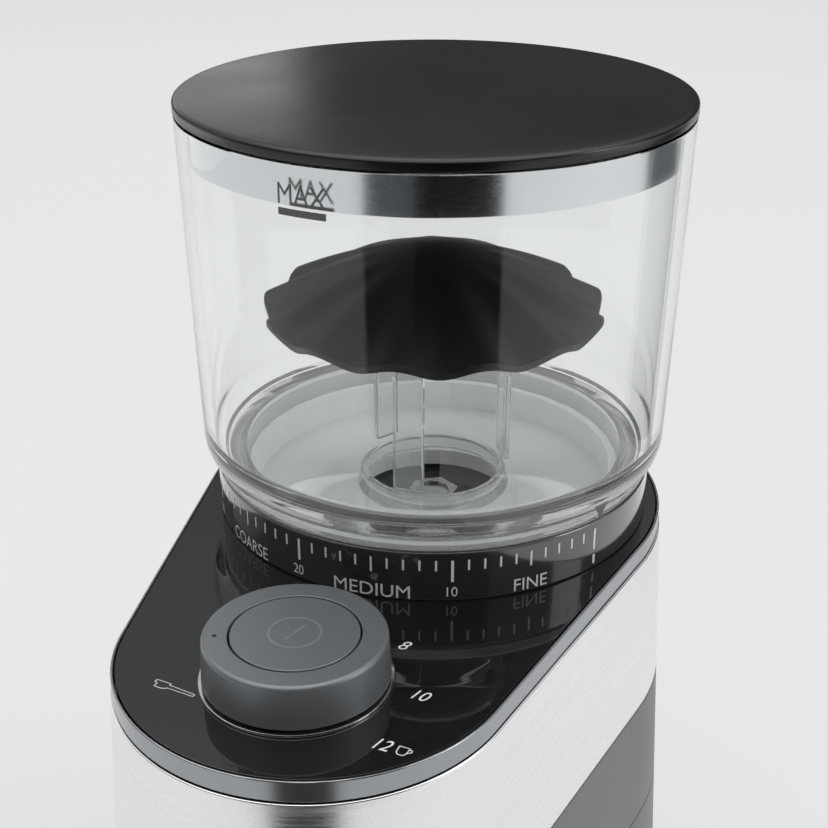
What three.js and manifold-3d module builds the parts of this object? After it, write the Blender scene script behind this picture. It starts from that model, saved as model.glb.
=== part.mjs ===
// Burr coffee grinder: a tapered, flared body with a steel band, a clear bean hopper over a
// conical burr set, a cup dial with a start button in it, and a container for the grounds.
// Lengths are millimetres. The part stands on z = 0, with the dial towards -Y.
import * as THREE from "three";
import { mergeVertices } from "three/addons/utils/BufferGeometryUtils.js";
import Module from "manifold-3d";

const wasm = await Module();
wasm.setup();

// Driving dimensions. Heights called "...Z" are measured from the top of the deck panel, and
// plan positions from the hopper's axis, unless a comment says otherwise.
const deckHeight = 169; // floor to the top of the deck panel
const deckMargin = 3.6; // deck's wide round end outside the grind scale ring
const frontRadius = 42.3; // the deck's narrow round end
const endDistance = 75.7; // between the centres of the two round ends
const flareAngle = 3; // degrees that the body's walls lean outwards on the way down
const shellStep = 0.4; // how far the steel band stands outside the bezel

const footHeight = 4;
const footRadius = 7;
const housingFloorGap = 3; // floor to the lower edge of the housing
const upperSeam = 45.6; // deck to the joint under the steel band
const lowerSeam = 79.5; // deck to the joint between the two plastic housings
const seamGap = 0.3;
const housingWall = 2.5;
const shellWall = 0.8;
const frameWall = 2;
const bezelHeight = 4.7;
const bezelWall = 0.6;
const deckThickness = 2.5;
const partGap = 0.3; // between pieces that seat in each other
const seat = 0.05; // between flat faces that rest on each other
const runGap = 0.4; // round pieces that turn or slide in others

const ringRadius = 53; // grind scale ring
const ringWall = 3.6;
const ringHeight = 12.3;
const scaleTurn = 117; // degrees between the finest and the coarsest mark

const hopperHeight = 97.7; // rim of the hopper above the deck
const hopperDraft = 2.3; // how much wider the hopper's rim is than its lower corner
const hopperStep = 3; // scale ring's face to the hopper wall's foot, across the rounded lower corner
const hopperCornerZ = 20.5;
const hopperWall = 2.2;
const hopperNeckTopZ = 15.5;
const throatRadius = 16.3;
const throatZ = 7.2; // floor of the hopper at the throat's edge
const floorEdgeZ = 17.5; // floor of the hopper where it meets the corner
const floorEdgeStep = 5; // scale ring's face to the edge of the hopper's floor
const throatDepth = 4;
const skirtDepth = 8.7; // how far the hopper's skirt reaches below the ring's top
const skirtWall = 2.2;

const lidThickness = 3.5;
const lidOverlap = 0.1; // how far the lid's edge passes the hopper's rim
const collarDepth = 9.4;
const collarWall = 1.2;

const guardRadius = 41;
const guardRimZ = 50;
const guardCrownZ = 65;
const guardWall = 1.8;
const guardWaves = 13;
const guardWaveHeight = 1.2;
const guardPlainRadius = 12; // inside this the guard has no waves
const legCount = 3;
const legWidth = 7.5;
const legThickness = 2.4;

const adjusterFlange = 4.2; // thickness of the adjusting ring's plate
const adjusterTopZ = 1.2;
const adjusterCollarHeight = 7.8;
const threadRadius = 38; // adjusting ring's thread in the grinding chamber
const threadWall = 4;
const threadBottomZ = -14;

const burrBaseRadius = 19; // cone burr
const burrTipRadius = 8.5;
const burrTopZ = -5;
const burrShoulderZ = -22; // the cone burr is cylindrical below this
const burrBottomZ = -27.4;
const coneTeeth = 14;
const ringTeeth = 22;
const toothDepth = 0.9;
const burrGap = 0.8; // between the two burrs at the finest setting
const ringBurrRadius = 24.6;
const ringBurrTopZ = -8;
const ringBurrBottomZ = -23;
const carrierWall = 3;
const burrLift = 1.5; // rise of the ring burr over the whole scale
const nutRadius = 6.5;
const nutHeight = 4.7;

const chamberRadius = 32.5; // inside of the bowl under the burrs
const chamberWall = 2.5;
const chamberFloorZ = -33;
const chamberBottomZ = -36;
const sweeperRadius = 31;
const sweeperTopZ = -25.2;
const sweeperBottomZ = -30.2;
const vaneCount = 4;

const shaftRadius = 4;
const boreGap = 0.15; // bores are this much larger than what is pressed in them
const bearingRadius = 6.4;
const bearingHeight = 4.6;
const lowerBearingRadius = 6.8;
const lowerBearingHeight = 4.2;

const gearModule = 1;
const pinionTeeth = 12;
const idlerTeeth = 40;
const idlerPinionTeeth = 12;
const outputTeeth = 44;
const centreSlack = 0.15; // added to each gear pair's centre distance
const idlerAngle = 150; // degrees, direction from the output shaft to the idler
const motorAngle = 21; // degrees, direction from the idler to the motor
const gearboxTopZ = -36.3;
const gearboxCoverThickness = 2.1;
const gearboxBottomZ = -62;
const gearboxWall = 2;
const gearboxFloor = 2.5;
const gearClearance = 1.5; // between the tips of a gear's teeth and the gearbox wall
const idlerGearHeight = 6;
const outputGearHeight = 7;
const idlerPinRadius = 2;

const motorRadius = 22;
const motorLength = 62;
const motorWall = 1.6;
const motorCapThickness = 3.4;
const motorShaftRadius = 1.6;
const armatureRadius = 13.5;
const armatureLength = 36;
const armatureSlots = 10;
const commutatorRadius = 6;
const commutatorLength = 8;
const magnetThickness = 5;
const magnetHalfAngle = 62;

const knobDistance = 85.8; // hopper axis to dial axis
const knobRadius = 18.8;
const knobTopZ = 10.7;
const knobBottomZ = 1.3;
const knobFlare = 0.4;
const knobEdge = 1; // rounding of the dial's top edge
const trimRadius = 19.9;
const trimHeight = 0.6;
const buttonRadius = 13.1;
const buttonThickness = 2.5;
const buttonTravel = 1.2;
const plungerRadius = 2.2;
const knobFloorZ = 4;
const knobFloorThickness = 1.5;
const dialShaftRadius = 5;
const boardZ = -18.5; // top face of the control board
const boardThickness = 1.6;
const encoderHeight = 8;
const encoderWidth = 18;
const switchHeight = 3.9;
const switchWidth = 6;

const bayHalfWidth = 36.5; // inside of the container bay
const bayRearY = -50;
const bayTopZ = -53;
const bayFloor = 10; // floor that the grinder stands on to the bay's own floor
const bayWall = 2;
const containerWall = 2;
const containerGap = 0.6;
const containerHeight = 101;
const containerLidThickness = 2;
const gripDepth = 3.5;
const gripWidth = 40;
const gripHeight = 6;
const gripDrop = 12; // container's rim to the top of its grip
const chuteY = -66; // where the grounds drop into the container
const chuteWidth = 20;
const chuteDepth = 13;
const chuteWall = 1.5;

const round = 30; // segments of a round piece that shows
const plain = 12; // segments of a round piece inside
const endSegments = 12; // segments of each round end of the body

// Values that follow from the ones above.
const floorZ = -deckHeight;
const rearRadius = ringRadius + deckMargin; // the deck's wide round end, about the hopper's axis
const hopperLowRadius = ringRadius + hopperStep;
const hopperTopRadius = hopperLowRadius + hopperDraft;
const floorEdgeRadius = ringRadius - floorEdgeStep;
const shellTopZ = -bezelHeight - partGap;
const housingBottomZ = floorZ + housingFloorGap;
const baseTopZ = floorZ + footHeight + 2.7;
const baseBottomZ = floorZ + footHeight + seat;
const scaleInner = ringRadius - ringWall;
const skirtOuter = scaleInner - 0.6;
const skirtInner = skirtOuter - skirtWall;
const adjusterRadius = skirtOuter - 1;
const adjusterHole = throatRadius + hopperWall + 0.9;
const lidBottomZ = hopperHeight + partGap;
const carrierOuter = ringBurrRadius + partGap + carrierWall;
const threadInner = threadRadius - threadWall;
const idlerDistance = (gearModule * (outputTeeth + idlerPinionTeeth)) / 2 + centreSlack;
const motorDistance = (gearModule * (idlerTeeth + pinionTeeth)) / 2 + centreSlack;
const idlerAt = fromPolar(idlerDistance, idlerAngle);
const motorAt = fromPolar(motorDistance, motorAngle).add(idlerAt);
const gearFloorZ = gearboxBottomZ + gearboxFloor;
const idlerBottomZ = gearFloorZ + 1;
const idlerTopZ = gearboxTopZ - gearboxCoverThickness - 3.6;
const outputGearZ = idlerTopZ - outputGearHeight - 0.5;
const motorTopZ = gearboxBottomZ - partGap;
const bayFloorZ = floorZ + bayFloor;
const containerTopZ = bayFloorZ + containerGap + containerHeight;
const knobY = -knobDistance;

const finish = (color, roughness, metalness = 0) =>
  new THREE.MeshStandardMaterial({ color, roughness, metalness });
const steel = finish(0xd3d5d6, 0.32, 1);
const greyPlastic = finish(0x85878a, 0.6);
const blackPlastic = finish(0x2a2c2e, 0.55);
const glossBlack = finish(0x26282a, 0.12);
const satinGrey = finish(0x6f7275, 0.35, 0.6);
const bezelGrey = finish(0x9b9da0, 0.4, 0.4);
const clearPlastic = new THREE.MeshStandardMaterial({
  color: 0xe8ecec,
  roughness: 0.08,
  transparent: true,
  opacity: 0.3,
});
const chrome = finish(0xe2e4e5, 0.08, 1);
const charcoal = finish(0x2c2f31, 0.4);
const guardGrey = finish(0x3a3d40, 0.5);
const burrSteel = finish(0x8c8f91, 0.35, 1);
const shaftSteel = finish(0xa5a8aa, 0.3, 1);
const nylon = finish(0xe6e2d6, 0.5);
const paleGrey = finish(0xb4b7b8, 0.5);
const rubber = finish(0x1b1b1c, 0.85);
const copper = finish(0xb4713c, 0.4, 1);
const ferrite = finish(0x3b3b3d, 0.7);
const circuitBoard = finish(0x1f5a3a, 0.5);
const galvanised = finish(0xaeb1b2, 0.45, 0.9);
const brassFinish = finish(0xb9964a, 0.35, 1);
const smoked = new THREE.MeshStandardMaterial({
  color: 0x4a4d50,
  roughness: 0.12,
  transparent: true,
  opacity: 0.55,
});

function fromPolar(radius, degrees) {
  const angle = THREE.MathUtils.degToRad(degrees);
  return new THREE.Vector2(radius * Math.cos(angle), radius * Math.sin(angle));
}

// A closed geometry as a manifold-3d solid.
function solid(geometry) {
  const bare = new THREE.BufferGeometry();
  bare.setAttribute("position", geometry.getAttribute("position"));
  bare.setIndex(geometry.index);
  const merged = mergeVertices(bare, 1e-4);
  const vertProperties = new Float32Array(merged.attributes.position.array);
  const triVerts = new Uint32Array(merged.index.array);
  return new wasm.Manifold(new wasm.Mesh({ numProp: 3, vertProperties, triVerts }));
}

function geometryOf(shape) {
  const mesh = shape.getMesh();
  const geometry = new THREE.BufferGeometry();
  geometry.setAttribute("position", new THREE.BufferAttribute(mesh.vertProperties, 3));
  geometry.setIndex(new THREE.BufferAttribute(mesh.triVerts, 1));
  geometry.computeVertexNormals();
  return geometry;
}

const join = (...pieces) => geometryOf(pieces.map(solid).reduce((a, b) => a.add(b)));
const common = (...pieces) => geometryOf(pieces.map(solid).reduce((a, b) => a.intersect(b)));
const cut = (base, ...tools) =>
  geometryOf(tools.map(solid).reduce((a, b) => a.subtract(b), solid(base)));

// A solid turned about Z from [radius, z] points that run anticlockwise: up the outside, down the inside.
function turned(profile, segments = plain) {
  const points = profile.map(([radius, z]) => new THREE.Vector2(radius, z));
  return new THREE.LatheGeometry(points, segments).rotateX(Math.PI / 2);
}

function tube(outer, inner, bottom, top, segments = plain) {
  const profile = [[inner, bottom], [outer, bottom], [outer, top], [inner, top], [inner, bottom]];
  return turned(profile, segments);
}

function rod(radius, bottom, top, segments = plain, x = 0, y = 0) {
  const profile = [[0, bottom], [radius, bottom], [radius, top], [0, top]];
  return turned(profile, segments).translate(x, y, 0);
}

function block(left, right, front, rear, bottom, top) {
  return new THREE.BoxGeometry(right - left, rear - front, top - bottom).translate(
    (left + right) / 2,
    (front + rear) / 2,
    (bottom + top) / 2,
  );
}

// A closed solid through level rings of [x, y, z] points, bottom ring first, anticlockwise from above.
function loft(rings) {
  const count = rings[0].length;
  const index = [];
  for (let level = 0; level < rings.length - 1; level++) {
    for (let i = 0; i < count; i++) {
      const a = level * count + i;
      const b = level * count + ((i + 1) % count);
      index.push(a, b, b + count, a, b + count, a + count);
    }
  }
  for (const level of [0, rings.length - 1]) {
    const plan = rings[level].map(([x, y]) => new THREE.Vector2(x, y));
    for (const face of THREE.ShapeUtils.triangulateShape(plan, [])) {
      const corners = face.map((corner) => corner + level * count);
      index.push(...(level ? corners : corners.reverse()));
    }
  }
  const geometry = new THREE.BufferGeometry();
  geometry.setAttribute("position", new THREE.Float32BufferAttribute(rings.flat(2), 3));
  geometry.setIndex(index);
  return geometry;
}

// The body's plan: two round ends of different size with straight sides tangent to both.
function outline(offset, z) {
  const rear = rearRadius + offset;
  const front = frontRadius + offset;
  const lean = Math.asin((rear - front) / endDistance);
  const plan = new THREE.Shape();
  plan.absarc(0, 0, rear, -lean, Math.PI + lean, false);
  plan.absarc(0, -endDistance, front, Math.PI + lean, 2 * Math.PI - lean, false);
  const points = plan.getPoints(endSegments);
  if (points[0].distanceTo(points.at(-1)) < 1e-6) points.pop();
  return points.map(({ x, y }) => [x, y, z]);
}

// How far the body's outer face stands outside the deck's outline at a height.
const flareAt = (z) => shellStep + Math.tan(THREE.MathUtils.degToRad(flareAngle)) * (shellTopZ - z);

// The body's filled shape between two heights, set in from its outer face.
const bodyFill = (bottom, top, inset) =>
  loft([outline(flareAt(bottom) - inset, bottom), outline(flareAt(top) - inset, top)]);

// A wall that follows the body's outer face; the tool reaches past both ends.
const bodyWall = (bottom, top, inset, wall) =>
  cut(bodyFill(bottom, top, inset), bodyFill(bottom - 1, top + 1, inset + wall));

// Casing ------------------------------------------------------------------------------------

const bayOpening = () =>
  block(-bayHalfWidth, bayHalfWidth, -2 * endDistance, bayRearY - 10, bayFloorZ, bayTopZ);

function steelShell() {
  return bodyWall(-upperSeam, shellTopZ, 0, shellWall);
}

function midHousing() {
  return cut(bodyWall(-lowerSeam + seamGap, -upperSeam - seamGap, 0, housingWall), bayOpening());
}

// Centres of the base screws, in the corners between the housing's wall and the bay.
const screwPlaces = [
  ["rear_right", ...fromPolar(rearRadius - 2, 40)],
  ["rear_left", ...fromPolar(rearRadius - 2, 140)],
  ["front_right", bayHalfWidth + bayWall + 6.1, -endDistance + 4],
  ["front_left", -bayHalfWidth - bayWall - 6.1, -endDistance + 4],
];
const screwShank = 1.4;
const bossRadius = 4;
const bossWebStart = 1.5; // screw's axis to the near end of the web that joins its boss to the wall
const bossWebLength = 30; // longer than the web needs, because the wall trims it
const bossTopZ = baseTopZ + 12;
const glandZ = floorZ + 20;
const glandRadius = 4.8;
const glandSetback = 1.8; // the wall is curved, so the gland's nut stands off it

const screwHole = (bottom, top, x, y) => rod(screwShank + partGap, bottom, top, 16, x, y);
const ventCount = 5;
const ventPitch = 9;
const ventWidth = 4;

const throughRear = (radius, front, rear) =>
  new THREE.CylinderGeometry(radius, radius, rear - front, plain)
    .translate(0, (front + rear) / 2, glandZ);

function screwBoss([, x, y]) {
  const fromEnd = new THREE.Vector2(x, y + (y < -endDistance / 2 ? endDistance : 0));
  const reach = fromEnd.setLength(bossWebStart + bossWebLength / 2);
  const web = new THREE.BoxGeometry(bossWebLength, 2 * bossRadius, bossTopZ - baseTopZ - 2 * seat);
  web.rotateZ(reach.angle());
  web.translate(x + reach.x, y + reach.y, (bossTopZ + baseTopZ) / 2);
  const post = rod(bossRadius, baseTopZ + seat, bossTopZ - seat, plain, x, y);
  return common(join(post, web), bodyFill(baseTopZ, bossTopZ, housingWall / 2));
}

function lowerHousing() {
  const wall = bodyWall(housingBottomZ, -lowerSeam, 0, housingWall);
  const bosses = screwPlaces.map(screwBoss);
  const holes = screwPlaces.map(([, x, y]) => screwHole(baseTopZ - 1, bossTopZ - 2, x, y));
  const rearHole = throughRear(glandRadius + partGap, rearRadius - 5, rearRadius + 20);
  return cut(join(wall, ...bosses), bayOpening(), rearHole, ...holes);
}

function basePlate() {
  const plate = bodyFill(baseBottomZ, baseTopZ, housingWall + partGap);
  const holes = screwPlaces.map(([, x, y]) => screwHole(baseBottomZ - 1, baseTopZ + 1, x, y));
  const vents = Array.from({ length: ventCount }, (_, i) => {
    const x = (i - (ventCount - 1) / 2) * ventPitch;
    return block(x - ventWidth / 2, x + ventWidth / 2, -6, 26, baseBottomZ - 1, baseTopZ + 1);
  });
  return cut(plate, ...holes, ...vents);
}

function foot() {
  const chamfer = 0.8;
  return turned([
    [0, floorZ],
    [footRadius - chamfer, floorZ],
    [footRadius, floorZ + chamfer],
    [footRadius, baseBottomZ - seat],
    [0, baseBottomZ - seat],
  ]);
}

function baseScrew() {
  const head = rod(3, baseBottomZ - 1.7, baseBottomZ - seat, 12);
  return join(head, rod(screwShank, baseBottomZ - 1, bossTopZ - 4, 12));
}

// The moulding inside the steel band: it carries the deck, the burr chamber and the dial.
function topFrame() {
  const inset = shellWall + partGap;
  const bottom = -upperSeam + 1.5;
  const top = shellTopZ - seat;
  const shape = cut(bodyFill(bottom, top, inset), bodyFill(bottom - 1, top - 2.4, inset + frameWall));
  const burrHole = rod(threadRadius + 3.6, bottom, top + 1, round);
  const dialHole = rod(8, bottom, top + 1, plain, 0, knobY);
  return cut(shape, burrHole, dialHole);
}

function bezel() {
  const bottom = -bezelHeight;
  const ledge = -deckThickness - partGap;
  const outer = loft([outline(0, bottom), outline(0, -0.3), outline(-0.25, 0)]);
  const panelSeat = loft([outline(-bezelWall, ledge), outline(-bezelWall, 1)]);
  const middle = loft([outline(-4, bottom - 1), outline(-4, 1)]);
  return cut(outer, panelSeat, middle);
}

function deckPanel() {
  const inset = -bezelWall - partGap;
  const panel = loft([outline(inset, -deckThickness), outline(inset, 0)]);
  const burrHole = rod(adjusterRadius + 2, -deckThickness - 1, 1, round);
  return cut(panel, burrHole, rod(8, -deckThickness - 1, 1, plain, 0, knobY));
}

function scaleRing() {
  const edge = 0.5;
  return turned([
    [scaleInner, seat],
    [ringRadius, seat],
    [ringRadius, ringHeight - edge],
    [ringRadius - edge, ringHeight],
    [scaleInner, ringHeight],
    [scaleInner, seat],
  ], round);
}

// Hopper and lid ----------------------------------------------------------------------------

const floorSlope = (floorEdgeZ - throatZ) / (floorEdgeRadius - throatRadius);
const hopperFloorAt = (radius) => throatZ + floorSlope * (radius - throatRadius);

function hopper() {
  const shoulder = ringHeight + runGap;
  const bottom = ringHeight - skirtDepth + runGap;
  const inner = hopperWall;
  const corner = new THREE.QuadraticBezierCurve(
    new THREE.Vector2(ringRadius, hopperNeckTopZ),
    new THREE.Vector2(hopperLowRadius - 0.3, hopperNeckTopZ + 1),
    new THREE.Vector2(hopperLowRadius, hopperCornerZ),
  ).getPoints(3);
  const innerCorner = new THREE.QuadraticBezierCurve(
    new THREE.Vector2(hopperLowRadius - inner, hopperCornerZ + 3.5),
    new THREE.Vector2(hopperLowRadius - inner - 1.2, floorEdgeZ + 1),
    new THREE.Vector2(floorEdgeRadius, floorEdgeZ),
  ).getPoints(3);
  const pair = ({ x, y }) => [x, y];
  return turned([
    [skirtInner, bottom],
    [skirtOuter, bottom],
    [skirtOuter, shoulder],
    [ringRadius, shoulder],
    ...corner.map(pair),
    [hopperTopRadius, hopperHeight],
    [hopperTopRadius - inner, hopperHeight],
    ...innerCorner.map(pair),
    [throatRadius, throatZ],
    [throatRadius, throatZ - throatDepth],
    [throatRadius + 2, throatZ - throatDepth],
    [throatRadius + 2, hopperFloorAt(throatRadius + 2) - inner],
    [skirtInner, hopperFloorAt(skirtInner) - inner],
    [skirtInner, bottom],
  ], round);
}

// Height of the bean guard's upper face above the deck: a shallow dome with ruffled edges.
function guardHeight(radius, angle) {
  const drop = (guardCrownZ - guardRimZ) * (radius / guardRadius) ** 1.6;
  const ruffle = Math.max(0, (radius - guardPlainRadius) / (guardRadius - guardPlainRadius)) ** 1.5;
  return guardCrownZ - drop + guardWaveHeight * ruffle * Math.cos(guardWaves * angle);
}

function beanGuard() {
  const steps = 4;
  const under = Array.from({ length: steps + 1 }, (_, i) => [(guardRadius * i) / steps, -guardWall]);
  const over = under.map(([radius]) => [radius, 0]).reverse();
  const dome = turned([...under, ...over], guardWaves * 5);
  const position = dome.getAttribute("position");
  for (let i = 0; i < position.count; i++) {
    const radius = Math.hypot(position.getX(i), position.getY(i));
    const angle = Math.atan2(position.getY(i), position.getX(i));
    position.setZ(i, position.getZ(i) + guardHeight(radius, radius ? angle : 0));
  }
  return dome;
}

function guardLegs() {
  const inner = throatRadius + partGap;
  const outer = inner + legThickness;
  const bottom = hopperFloorAt(outer) + partGap;
  const top = guardHeight(outer, Math.PI / guardWaves) - guardWall - 2 * partGap;
  const hub = tube(outer, inner, top - 1.6, top, round);
  const legs = Array.from({ length: legCount }, (_, i) =>
    block(inner + 0.4, outer - 0.1, -legWidth / 2, legWidth / 2, bottom, top - 0.5).rotateZ(
      -Math.PI / 2 + (i * 2 * Math.PI) / legCount,
    ),
  );
  return join(hub, ...legs);
}

function lid() {
  const radius = hopperTopRadius + lidOverlap;
  const top = lidBottomZ + lidThickness;
  return turned([
    [0, lidBottomZ],
    [radius - 0.4, lidBottomZ],
    [radius, lidBottomZ + 0.4],
    [radius, top - 1.6],
    [radius - 0.6, top - 0.9],
    [radius - 2, top - 0.6],
    [radius / 2, top - 0.1],
    [0, top],
  ], round);
}

function lidCollar() {
  const outer = hopperTopRadius - hopperWall - runGap - 0.2;
  return tube(outer, outer - collarWall, lidBottomZ - collarDepth, lidBottomZ - seat, round);
}

// Grind adjustment and burrs ----------------------------------------------------------------

function adjustingRing() {
  const under = adjusterTopZ - adjusterFlange;
  const collar = skirtInner - runGap;
  return turned([
    [threadInner, threadBottomZ],
    [threadRadius, threadBottomZ],
    [threadRadius, under],
    [adjusterRadius, under],
    [adjusterRadius, adjusterTopZ],
    [collar, adjusterTopZ],
    [collar, adjusterTopZ + adjusterCollarHeight],
    [collar - 2, adjusterTopZ + adjusterCollarHeight],
    [collar - 2, adjusterTopZ],
    [adjusterHole, adjusterTopZ],
    [adjusterHole, under],
    [threadInner, under],
    [threadInner, threadBottomZ],
  ], round);
}

function burrCarrier() {
  const bore = ringBurrRadius + partGap;
  const lip = ringBurrTopZ + partGap;
  const top = lip + 2.5;
  return turned([
    [bore, ringBurrBottomZ - 1],
    [carrierOuter, ringBurrBottomZ - 1],
    [carrierOuter, lip - 0.3],
    [threadInner - runGap, lip - 0.3],
    [threadInner - runGap, top],
    [burrBaseRadius - 0.5, top],
    [burrBaseRadius - 0.5, lip],
    [bore, lip],
    [bore, ringBurrBottomZ - 1],
  ], round);
}

// A toothed ring of points, twisted a little more at each level so that the teeth spiral.
function toothedRing(radius, teeth, z, twist) {
  return Array.from({ length: 2 * teeth }, (_, i) => {
    const { x, y } = fromPolar(i % 2 ? radius - toothDepth : radius, (i * 180) / teeth + twist);
    return [x, y, z];
  });
}

function coneRadiusAt(z) {
  if (z < burrShoulderZ) return burrBaseRadius;
  const rise = (z - burrShoulderZ) / (burrTopZ - burrShoulderZ);
  return burrBaseRadius - (burrBaseRadius - burrTipRadius) * rise;
}

function coneBurr() {
  const levels = [burrBottomZ, burrShoulderZ, (burrShoulderZ + burrTopZ) / 2, burrTopZ];
  const cone = loft(levels.map((z, i) => toothedRing(coneRadiusAt(z), coneTeeth, z, 9 * i)));
  return cut(cone, rod(shaftRadius + boreGap, burrBottomZ - 1, burrTopZ + 1));
}

function ringBurr() {
  const blank = rod(ringBurrRadius, ringBurrBottomZ, ringBurrTopZ, round);
  const mouth = burrBaseRadius - 1.6;
  const levels = [
    [ringBurrBottomZ - 1, burrBaseRadius],
    [burrShoulderZ, burrBaseRadius],
    [burrShoulderZ + 3, coneRadiusAt(burrShoulderZ + 3) + 0.5],
    [ringBurrTopZ, mouth],
    [ringBurrTopZ + 1, mouth],
  ];
  const rings = levels.map(([z, radius], i) =>
    toothedRing(radius + burrGap + toothDepth, ringTeeth, z, -5 * i),
  );
  return cut(blank, loft(rings));
}

function burrSeal() {
  const top = ringBurrTopZ - 2.4;
  return tube(threadInner - 0.3, carrierOuter + partGap, top - 3, top, round);
}

function burrNut() {
  const hex = turned([[0, 0], [nutRadius, 0], [nutRadius, nutHeight], [0, nutHeight]], 6);
  hex.translate(0, 0, burrTopZ + partGap);
  return cut(hex, rod(shaftRadius + boreGap, burrTopZ, burrTopZ + nutHeight + 1));
}

function sweeper() {
  const disc = tube(burrBaseRadius + 3, shaftRadius + boreGap, sweeperBottomZ, burrBottomZ - partGap);
  const vane = (i) =>
    block(burrBaseRadius + 1, sweeperRadius, -1.2, 1.2, sweeperBottomZ, sweeperTopZ)
      .rotateZ((i * 2 * Math.PI) / vaneCount);
  const vanes = Array.from({ length: vaneCount }, (_, i) => vane(i));
  return join(disc, ...vanes);
}

function grindingChamber() {
  const outer = chamberRadius + chamberWall;
  const bore = threadRadius + 0.6;
  const neck = bore + chamberWall;
  const under = shellTopZ - 2.7;
  const boss = bearingRadius + 5.5;
  const bearingBore = bearingRadius + 0.2;
  const bowl = turned([
    [bearingBore, chamberBottomZ],
    [outer, chamberBottomZ],
    [outer, threadBottomZ - 3],
    [neck, threadBottomZ - 1],
    [neck, under - 2.2],
    [neck + 3, under - 2.2],
    [neck + 3, under],
    [neck, under],
    [neck, shellTopZ - 0.3],
    [bore, shellTopZ - 0.3],
    [bore, threadBottomZ - 0.6],
    [chamberRadius, threadBottomZ - 3.5],
    [chamberRadius, chamberFloorZ],
    [boss, chamberFloorZ],
    [boss, chamberFloorZ + 2],
    [bearingBore, chamberFloorZ + 2],
    [bearingBore, chamberBottomZ],
  ], round);
  const half = chuteWidth / 2 - chuteWall;
  const outlet = block(-half, half, -2 * chamberRadius, -20, chamberFloorZ + 2.5, threadBottomZ - 4);
  return cut(bowl, outlet);
}

// Grounds fall from the chamber's side down this square tube to the container.
function groundChute() {
  const half = chuteWidth / 2;
  const deep = chuteDepth / 2;
  const rectangle = (x, y) =>
    [[-x, -y], [x, -y], [x, y], [-x, y]].map((corner) => new THREE.Vector2(...corner));
  const section = new THREE.Shape(rectangle(half, deep));
  section.holes.push(new THREE.Path(rectangle(half - chuteWall, deep - chuteWall).reverse()));
  const start = -chamberRadius - chamberWall - 3.2;
  const path = new THREE.CatmullRomCurve3([
    new THREE.Vector3(0, start, threadBottomZ - 11),
    new THREE.Vector3(0, start - 9, threadBottomZ - 13.5),
    new THREE.Vector3(0, (start + chuteY) / 2 - 4, threadBottomZ - 21),
    new THREE.Vector3(0, chuteY + 1, bayTopZ + bayWall + 8),
    new THREE.Vector3(0, chuteY, bayTopZ + bayWall + 1),
  ]);
  return new THREE.ExtrudeGeometry(section, { steps: 16, extrudePath: path });
}

// Drive -------------------------------------------------------------------------------------

function toothedOutline(teeth, phase) {
  const pitch = (gearModule * teeth) / 2;
  const corners = [
    [pitch - 1.2 * gearModule, -0.92],
    [pitch + 0.9 * gearModule, -0.32],
    [pitch + 0.9 * gearModule, 0.32],
    [pitch - 1.2 * gearModule, 0.92],
  ];
  const points = [];
  for (let tooth = 0; tooth < teeth; tooth++) {
    const middle = phase + (tooth * 360) / teeth;
    for (const [radius, side] of corners) {
      const swing = THREE.MathUtils.radToDeg((side * gearModule) / radius);
      points.push(fromPolar(radius, middle + swing));
    }
  }
  return new THREE.Shape(points);
}

// A spur gear about Z; the phase is the direction of its first tooth in degrees.
function gear(teeth, phase, bottom, top, bore) {
  const depth = top - bottom;
  const blank = new THREE.ExtrudeGeometry(toothedOutline(teeth, phase), { depth, bevelEnabled: false });
  return cut(blank.translate(0, 0, bottom), rod(bore, bottom - 1, top + 1));
}

const outputGear = () =>
  gear(outputTeeth, idlerAngle, outputGearZ, outputGearZ + outputGearHeight, shaftRadius + boreGap);

function idlerGear() {
  const bore = idlerPinRadius + boreGap;
  const step = idlerBottomZ + idlerGearHeight;
  const wheel = gear(idlerTeeth, motorAngle, idlerBottomZ, step, bore);
  const phase = idlerAngle + 180 + 180 / idlerPinionTeeth;
  const pinion = gear(idlerPinionTeeth, phase, step - 0.5, idlerTopZ, bore);
  return join(wheel, pinion);
}

function motorPinion() {
  const phase = motorAngle + 180 + 180 / pinionTeeth;
  const bottom = idlerBottomZ + 0.3;
  return gear(pinionTeeth, phase, bottom, bottom + idlerGearHeight, motorShaftRadius + boreGap);
}

// The gearbox's plan is three overlapping discs, one about each shaft.
function gearboxDiscs(margin, bottom, top) {
  const tip = (teeth) => (gearModule * teeth) / 2 + gearModule + gearClearance + margin;
  return join(
    rod(tip(outputTeeth), bottom, top, round),
    rod(tip(idlerTeeth), bottom, top, round, idlerAt.x, idlerAt.y),
    rod(tip(pinionTeeth), bottom, top, plain, motorAt.x, motorAt.y),
  );
}

function gearboxHousing() {
  const top = gearboxTopZ - gearboxCoverThickness - partGap;
  const cup = cut(gearboxDiscs(gearboxWall, gearboxBottomZ, top), gearboxDiscs(0, gearFloorZ, top + 1));
  const bore = motorShaftRadius + 1.2;
  return cut(cup, rod(bore, gearboxBottomZ - 1, gearFloorZ + 1, plain, motorAt.x, motorAt.y));
}

function gearboxCover() {
  const bottom = gearboxTopZ - gearboxCoverThickness;
  const shaftHole = rod(shaftRadius + 0.8, bottom - 1, gearboxTopZ + 1);
  return cut(gearboxDiscs(gearboxWall, bottom, gearboxTopZ), shaftHole);
}

const idlerPin = () =>
  rod(idlerPinRadius, gearFloorZ + seat, gearboxTopZ - gearboxCoverThickness - seat);
const outputShaft = () => rod(shaftRadius, gearFloorZ + seat, burrTopZ + nutHeight - 0.5);
const upperBearing = () =>
  tube(bearingRadius, shaftRadius + boreGap, chamberFloorZ + 1.8 - bearingHeight, chamberFloorZ + 1.8);
const lowerBearing = () =>
  tube(lowerBearingRadius, shaftRadius + boreGap, gearFloorZ + seat, gearFloorZ + lowerBearingHeight);

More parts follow.
